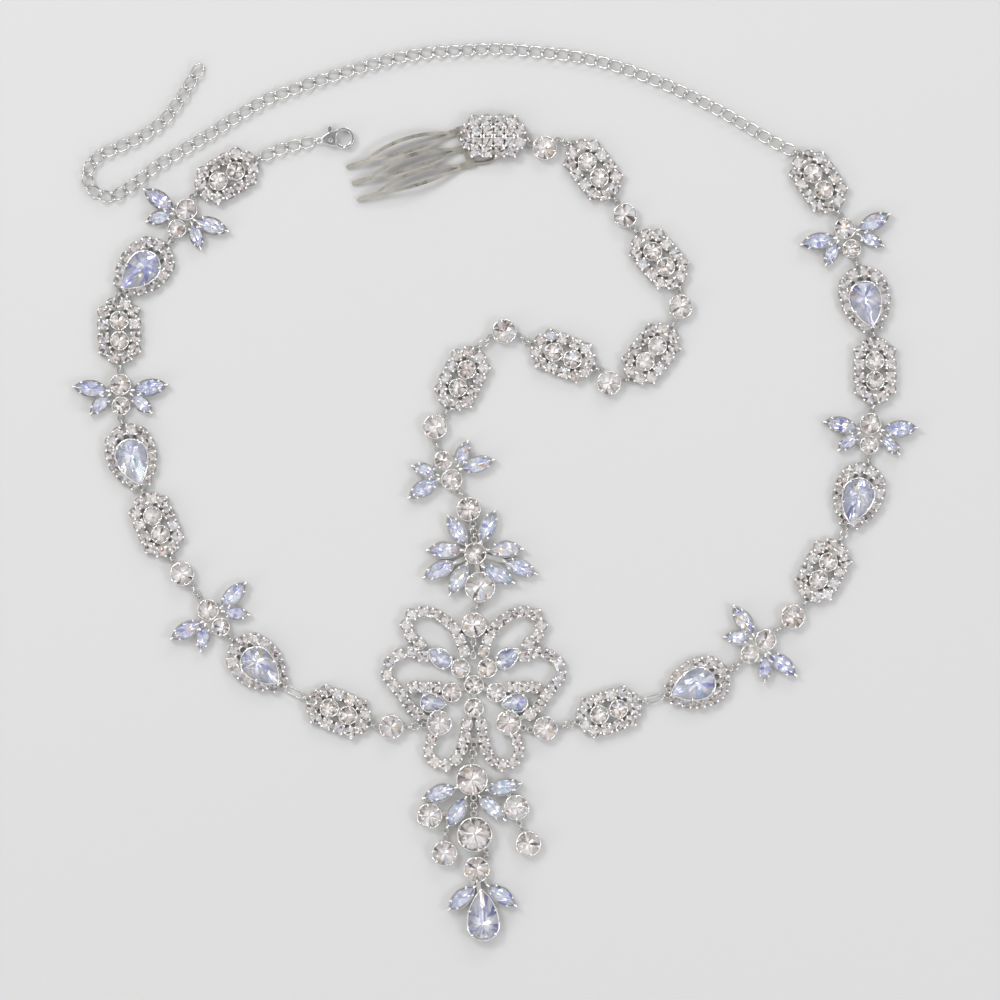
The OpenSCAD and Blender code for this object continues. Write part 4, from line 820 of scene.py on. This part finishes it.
silver = metal("silver_plate", (0.84, 0.83, 0.81), (0.62, 0.60, 0.57), 0.16, 0.012)
claw_silver = metal("claw_silver", (0.90, 0.89, 0.88), (0.76, 0.74, 0.72), 0.11, 0.006, 1400)
chain_silver = metal("chain_silver", (0.66, 0.65, 0.63), (0.48, 0.46, 0.44), 0.15, 0.008, 1200)
clasp_silver = metal("clasp_silver", (0.86, 0.86, 0.86), (0.74, 0.74, 0.74), 0.12, 0.008, 500)
comb_silver = metal("comb_silver", (0.46, 0.435, 0.385), (0.36, 0.345, 0.31), 0.33, 0.006, 300)
crystal_glass = glass("crystal_glass", (1.0, 0.99, 0.99), 1.56)
crystal_foil_painted_sparkle = foil("crystal_foil_painted_sparkle", 0.05, 0.62)
lavender_glass = glass("lavender_glass", (0.95, 0.96, 1.0), 1.6)
lavender_foil_painted_sparkle = foil("lavender_foil_painted_sparkle", 0.05, 0.6)
CRYSTAL = [crystal_glass, crystal_foil_painted_sparkle]
LAVENDER = [lavender_glass, lavender_foil_painted_sparkle]

for name, obj in nodes.items():
    if name == "comb":
        use = comb_silver
    elif name in ("joint_rings", "extension_chain", "clasp_chain"):
        use = chain_silver
    elif name.startswith("clasp"):
        use = clasp_silver
    elif name.endswith("crystals"):
        use = crystal_glass
    elif name.endswith("lavender"):
        use = lavender_glass
    else:
        use = silver
    obj.data.materials.clear()
    obj.data.materials.append(use)


# ---- stones and claws
rng = random.Random(11)
# Width from which a round stone has six prongs, and a large stone's number of sides below and from it
SIX_CLAWS_FROM, FEW_SIDES, MANY_SIDES = 6.0, 16, 20
# The thin rim round a round stone: its distance beyond the seat and its radius
RIM_OUT, RIM_WIRE = 0.14, 0.15
# How near a stone must be for a claw to keep away from it: beyond a stone's width, and from a small cup
CLAW_REACH, SMALL_REACH = 3, 4.4


def dress(groups):
    """Makes the stones and claws of one part of the chain. A group is its stones, its cups, its height and
    whether its round stones are among the small ones."""
    crystals, lavender, smalls, claws = Build(), Build(), Build(), Build()
    for stones, cups, z, middle in groups:
        centres = [s[1] for s in stones] + list(cups)
        for s in stones:
            shape, width = s[0], s[4]
            big = width >= SIX_CLAWS_FROM
            target = lavender if shape != "round" else (smalls if middle else crystals)
            # painted facet reflections: crystal sparkle for round stones, lavender tint with sparkle for the
            # others
            sparkle_palette = CRYSTAL_PAINTED_SPARKLE if shape == "round" else LAVENDER_TINT_AND_PAINTED_SPARKLE
            gem(target, s, z + girdle_z(s), DEPTH_SHARE[shape] * width, CROWN_SHARE[shape] * width,
                MANY_SIDES if big else FEW_SIDES, rng, sparkle_palette)
            if shape == "round":
                n = 6 if big else 4
                others = [c for c in centres if c is not s[1]]
                round_claws(claws, s, z, claw_turn(s[1], others, n, width + CLAW_REACH), n)
                rim(claws, s[1], width / 2 + SEAT_GAP + RIM_OUT, z + girdle_z(s) - GIRDLE_LIFT, RIM_WIRE)
            else:
                pointed_claws(claws, s, z)
        for c in cups:
            others = [o for o in centres if o is not c]
            small_cup(smalls, claws, c, z, claw_turn(c, others, 4, SMALL_REACH), rng)
    return crystals, lavender, smalls, claws


def strand_groups(strand):
    """A group for each piece of a strand."""
    groups = []
    for kind, place, turn in strand.pieces:
        stones = moved(stones_of(kind), place, turn)
        cups = [place + turned(c, turn) for c in cups_of(kind)]
        groups.append((stones, cups, CLUSTER_Z if kind == "comb_oval" else 0.0, kind == "oval"))
        if kind == "comb_oval":
            middle = [place + turned(vec(p) * SMALL_PITCH, turn) for p in COMB_OVAL_MIDDLE]
            groups.append(([], middle, CLUSTER_Z + COMB_OVAL_LIFT, True))
    return groups


butterfly_cups = [mirrored(p, s) for row in (UPPER_ROW, MIDDLE_ROW, INNER_ROW, LOWER_ROW) for s in (-1, 1)
                  for p in row_of_cups(row)]
butterfly_stones = [round_stone(p, BODY_D) for p in BODY] + [round_stone(HEAD, HEAD_D)]
butterfly_stones += [round_stone(mirrored(FLANK, s), FLANK_D) for s in (-1, 1)]
butterfly_stones += [stone("pear", mirrored(p, s), turn if s > 0 else 180 - turn, MINI_PEAR_L, MINI_PEAR_W)
                     for p, turn in MINI_PEARS for s in (-1, 1)]

# Sideways shifts of the pendant from the foot of the butterfly, of its lower eye, and of the middle drop
PENDANT_SHIFT, FOOT_SHIFT, MID_SHIFT, RIGHT_TIP_TURN = 0.6, 0.5, 0.3, -80
pendant_place = foot_eye - vec((PENDANT_SHIFT, 2 * LOOP_STEP + EYE_REACH + cup_r(PENDANT_D)))
pendant_eye = pendant_place + vec((0, cup_r(PENDANT_D) + EYE_REACH))
pendant_foot = pendant_place + vec((FOOT_SHIFT, -cup_r(PENDANT_D) - EYE_REACH))
pendant_sides = [vec(p) * MARQUISE_L for p in PENDANT_SIDES]
pendant_leaves = leaves(PENDANT, cup_r(PENDANT_D))
pendant_rounds = [round_stone((0, 0), PENDANT_D)] + [round_stone(p, PENDANT_SIDE_D) for p in pendant_sides]
pendant_stones = moved(pendant_rounds + pendant_leaves, pendant_place, 0)
second = pendant_leaves[1]
left_tip = pendant_place + second[1] + polar(MARQUISE_L / 2 + 2 * CLAW_R + EYE_REACH + SEAT_GAP, second[2])
right_tip = pendant_place + pendant_sides[1] + polar(cup_r(PENDANT_SIDE_D) + EYE_REACH, RIGHT_TIP_TURN)
hang = SHORT_STEP + EYE_REACH + cup_r(PENDANT_SIDE_D)
LEFT_HANG_TURN, RIGHT_HANG_TURN, MID_EYE_TURN, DROP_EYE_TURN = -92, -66, -52, 48
mid_place = pendant_foot + vec((MID_SHIFT, -2 * LOOP_STEP - EYE_REACH - cup_r(PENDANT_MID_D)))
mid_eye = mid_place + polar(cup_r(PENDANT_MID_D) + EYE_REACH, MID_EYE_TURN)
drop_eye = mid_eye + vec((0, -SHORT_STEP))
drop_place = drop_eye - polar(cup_r(DROP_ROUND_D) + EYE_REACH, DROP_EYE_TURN)
drop_pear = vec(DROP_POINT) * cup_r(DROP_ROUND_D) - polar(DROP_L - DROP_W / 2, DROP_TURN)
drop_stones = moved([round_stone((0, 0), DROP_ROUND_D), stone("pear", drop_pear, DROP_TURN, DROP_L, DROP_W)]
                    + leaves(DROP_LEAVES, cup_r(DROP_ROUND_D)), drop_place, 0)

centre_groups = [
    (butterfly_stones, butterfly_cups, 0.0, False),
    (pendant_stones, [], 0.0, False),
    ([round_stone(left_tip + polar(hang, LEFT_HANG_TURN), PENDANT_SIDE_D)], [], 0.0, False),
    ([round_stone(right_tip + polar(hang, RIGHT_HANG_TURN), PENDANT_SIDE_D)], [], 0.0, False),
    ([round_stone(mid_place, PENDANT_MID_D)], [], 0.0, False),
    (drop_stones, [], 0.0, False),
]

side_lavender = Build()
parts = {"left": strand_groups(left), "right": strand_groups(right), "top": strand_groups(top),
         "centre": centre_groups}
for title, groups in parts.items():
    crystals, lavender, smalls, claws = dress(groups)
    crystals.make(f"{title}_cut_crystals", CRYSTAL, "crystal", replaces=(f"{title}_crystals",))
    smalls.make(f"{title}_small_stones", CRYSTAL, "crystal")
    claws.make(f"{title}_claws", [claw_silver], "silver")
    if title in ("left", "right"):
        side_lavender.add(np.concatenate(lavender.points), lavender.faces, lavender.slots, lavender.tints)
    else:
        lavender.make(f"{title}_cut_lavender", LAVENDER, "lavender", replaces=(f"{title}_lavender",))
side_lavender.make("side_cut_lavender", LAVENDER, "lavender", replaces=("side_lavender",))

# ---- rings and chains
rings = Build()
for strand in (left, right, top):
    for i, row in enumerate(strand.rows):
        joint(rings, strand.eyes[2 * i], strand.eyes[2 * i + 1], row[1])
joint(rings, foot_eye, pendant_eye, 0)
joint(rings, pendant_foot, pendant_foot - vec((0, 2 * LOOP_STEP)), 0)
joint(rings, left_tip, left_tip + polar(SHORT_STEP, LEFT_HANG_TURN), -1)
joint(rings, right_tip, right_tip + polar(SHORT_STEP, RIGHT_HANG_TURN), -1)
joint(rings, mid_eye, drop_eye, -1)
rings.make("wire_rings", [chain_silver], "chain_silver", replaces=("joint_rings",))

curb_a = CURB_L / 2 - CURB_WIRE_R
curb_step = 2 * curb_a - 2 * CURB_WIRE_R - CURB_PLAY


def first_wire(places):
    """Where the wire of a chain's first link lies."""
    return places[0] + unit(places[1] - places[0]) * (curb_step / 2 - curb_a)


extension = Build()
for i in range(EXTENSION_LINKS):
    twist = TURN_TWIST if TURN_LINKS[0] <= i <= TURN_LINKS[1] else CURB_TWIST
    link(extension, right.links[i], right.links[i + 1], twist)
coupler(extension, right.eyes[-1], heading(first_wire(right.links) - right.eyes[-1]))
extension.make("extension_links", [chain_silver], "chain_silver", replaces=("extension_chain",))

short_chain = Build()
for i in range(CLASP_LINKS):
    link(short_chain, left.links[i], left.links[i + 1], CURB_TWIST)
coupler(short_chain, left.eyes[-1], heading(first_wire(left.links) - left.eyes[-1]))
end = left.links[CLASP_LINKS]
last_wire = end + unit(end - left.links[CLASP_LINKS - 1]) * (curb_a - curb_step / 2)
clasp_place = last_wire + polar(EYE_OUT + CURB_WIRE_R + EYE_GAP + CLASP_TAIL, CLASP_TURN)
coupler(short_chain, clasp_place - polar(CLASP_TAIL, CLASP_TURN), CLASP_TURN + 180)
short_chain.make("clasp_links", [chain_silver], "chain_silver", replaces=("clasp_chain",))

# ---- short chain that hangs below the head of the butterfly
THROAT_X, THROAT_TOP, THROAT_STEP, THROAT_Z = -0.2, 14.4, 1.95, 1.5
THROAT_LINKS, THROAT_HALF_L, THROAT_HALF_W, THROAT_WIRE = 3, 1.25, 0.75, 0.2
throat = Build()
for i in range(THROAT_LINKS):
    line = []
    for k in range(20):
        a = 2 * math.pi * k / 20
        across = THROAT_HALF_W * math.sin(a)
        y = THROAT_TOP - THROAT_STEP * i + THROAT_HALF_L * math.cos(a)
        line.append(vec((THROAT_X + across, y, THROAT_Z) if i % 2 == 0 else (THROAT_X, y, THROAT_Z + across)))
    closed(throat, line, THROAT_WIRE, 8)
throat.make("throat_chain", [chain_silver], "chain_silver")

# ---- end of the comb's spine, curled beside the last cluster
CURL = [(-1.4, 158.1), (0.7, 157.9), (3.4, 158.1), (5.6, 158.9), (6.9, 160.3), (6.6, 161.6)]
CURL_Z, CURL_R, CURL_TIP_R, CURL_FLATNESS = 0.5, 0.5, 0.3, 0.7
curl = Build()
line = [(*p, CURL_Z) for p in curve(CURL, 6)]
tube(curl, line, [CURL_R] * (len(line) - 1) + [CURL_TIP_R], 12, CURL_FLATNESS)
curl.make("comb_curl", [comb_silver], "comb_silver")


# ---- clasp, with its edges rounded as on a cast one
def rounded(node, name, body, voxel, rounds):
    """A copy of a solid with soft edges, in voxels of so many mm and so many rounds of smoothing."""
    obj = bpy.data.objects.new(name, nodes[node].data.copy())
    bpy.context.scene.collection.objects.link(obj)
    remesh = obj.modifiers.new("remesh", "REMESH")
    remesh.mode = "VOXEL"
    remesh.voxel_size = voxel * MM
    remesh.use_smooth_shade = True
    smooth = obj.modifiers.new("smooth", "SMOOTH")
    smooth.factor = 0.5
    smooth.iterations = rounds
    graph = bpy.context.evaluated_depsgraph_get()
    mesh = bpy.data.meshes.new_from_object(obj.evaluated_get(graph))
    obj.modifiers.clear()
    obj.data = mesh
    mesh.materials.clear()
    mesh.materials.append(clasp_silver)
    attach(obj, body)
    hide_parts(node)


rounded("clasp_body", "polished_clasp", "chain", 0.09, 14)
rounded("clasp_lever", "polished_lever", "lever", 0.07, 8)

# ---- floor, light and camera, in metres
FLOOR_HALF, FLOOR_Z = 3, -0.0001
mesh = bpy.data.meshes.new("floor")
corners = [(x * FLOOR_HALF, y * FLOOR_HALF, FLOOR_Z) for x, y in ((-1, -1), (1, -1), (1, 1), (-1, 1))]
mesh.from_pydata(corners, [], [(0, 1, 2, 3)])
floor = bpy.data.objects.new("floor", mesh)
bpy.context.scene.collection.objects.link(floor)
paper, tree, bsdf = new_material("pale_floor")
bsdf.inputs["Base Color"].default_value = (0.5, 0.5, 0.505, 1)
bsdf.inputs["Roughness"].default_value = 0.7
mesh.materials.append(paper)


AIM = (0, 0.055, 0)


def area_light(name, place, size, power, colour):
    data = bpy.data.lights.new(name, "AREA")
    data.shape = "RECTANGLE"
    data.size, data.size_y = size
    data.energy = power
    data.color = colour
    obj = bpy.data.objects.new(name, data)
    obj.location = place
    obj.rotation_mode = "QUATERNION"
    obj.rotation_quaternion = (Vector(AIM) - Vector(place)).to_track_quat("-Z", "Y")
    bpy.context.scene.collection.objects.link(obj)


area_light("key", (-0.7, 0.8, 1.1), (0.5, 0.5), 9, (1.0, 0.98, 0.95))
area_light("fill", (0.9, -0.3, 0.9), (0.5, 0.3), 4, (0.95, 0.97, 1.0))
area_light("back", (0.3, 1.1, 0.6), (0.6, 0.15), 3, (1, 1, 1))
area_light("side", (-1.0, -0.5, 0.5), (0.2, 0.5), 2.5, (1.0, 0.95, 0.9))

world = bpy.data.worlds.new("studio")
bpy.context.scene.world = world
world.use_nodes = True
tree = world.node_tree
background = tree.nodes["Background"]
coord = tree.nodes.new("ShaderNodeTexCoord")
split = tree.nodes.new("ShaderNodeSeparateXYZ")
tree.links.new(coord.outputs["Generated"], split.inputs["Vector"])
# Brightness of the studio at heights from the horizon to the zenith, and of its dim and bright patches
SKY_HEIGHTS = [(0.0, 0.5), (0.3, 0.9), (0.75, 1.0), (0.93, 0.75), (1.0, 0.55)]
SKY_PATCHES = [(0.37, 0.05), (0.48, 0.7), (0.62, 1.1)]
height = ramp(tree, split.outputs["Z"], [(at, (grey,) * 3) for at, grey in SKY_HEIGHTS])
panels = tree.nodes.new("ShaderNodeTexNoise")
panels.inputs["Scale"].default_value = 4.4
panels.inputs["Detail"].default_value = 1.0
tree.links.new(coord.outputs["Generated"], panels.inputs["Vector"])
patches = ramp(tree, panels.outputs["Fac"], [(at, (grey,) * 3) for at, grey in SKY_PATCHES])
sky = tree.nodes.new("ShaderNodeMix")
sky.data_type, sky.blend_type = "RGBA", "MULTIPLY"
sky.inputs["Factor"].default_value = 1.0
tree.links.new(height, sky.inputs[6])
tree.links.new(patches, sky.inputs[7])
tree.links.new(sky.outputs[2], background.inputs["Color"])
background.inputs["Strength"].default_value = 1.5

scene = bpy.context.scene
scene.view_settings.view_transform = "Standard"
camera_data = bpy.data.cameras.new("camera")
# The photo's 1000 pixels span 0.3 m on the floor
LENS, SENSOR, PHOTO_SPAN = 200, 36, 0.3
camera_data.lens = LENS
camera_data.sensor_width = SENSOR
camera_data.clip_start, camera_data.clip_end = 0.01, 20
camera = bpy.data.objects.new("camera", camera_data)
camera.location = (0.0078, 0.057, PHOTO_SPAN * LENS / SENSOR)
camera.rotation_euler = (0, 0, 0)
scene.collection.objects.link(camera)
scene.camera = camera
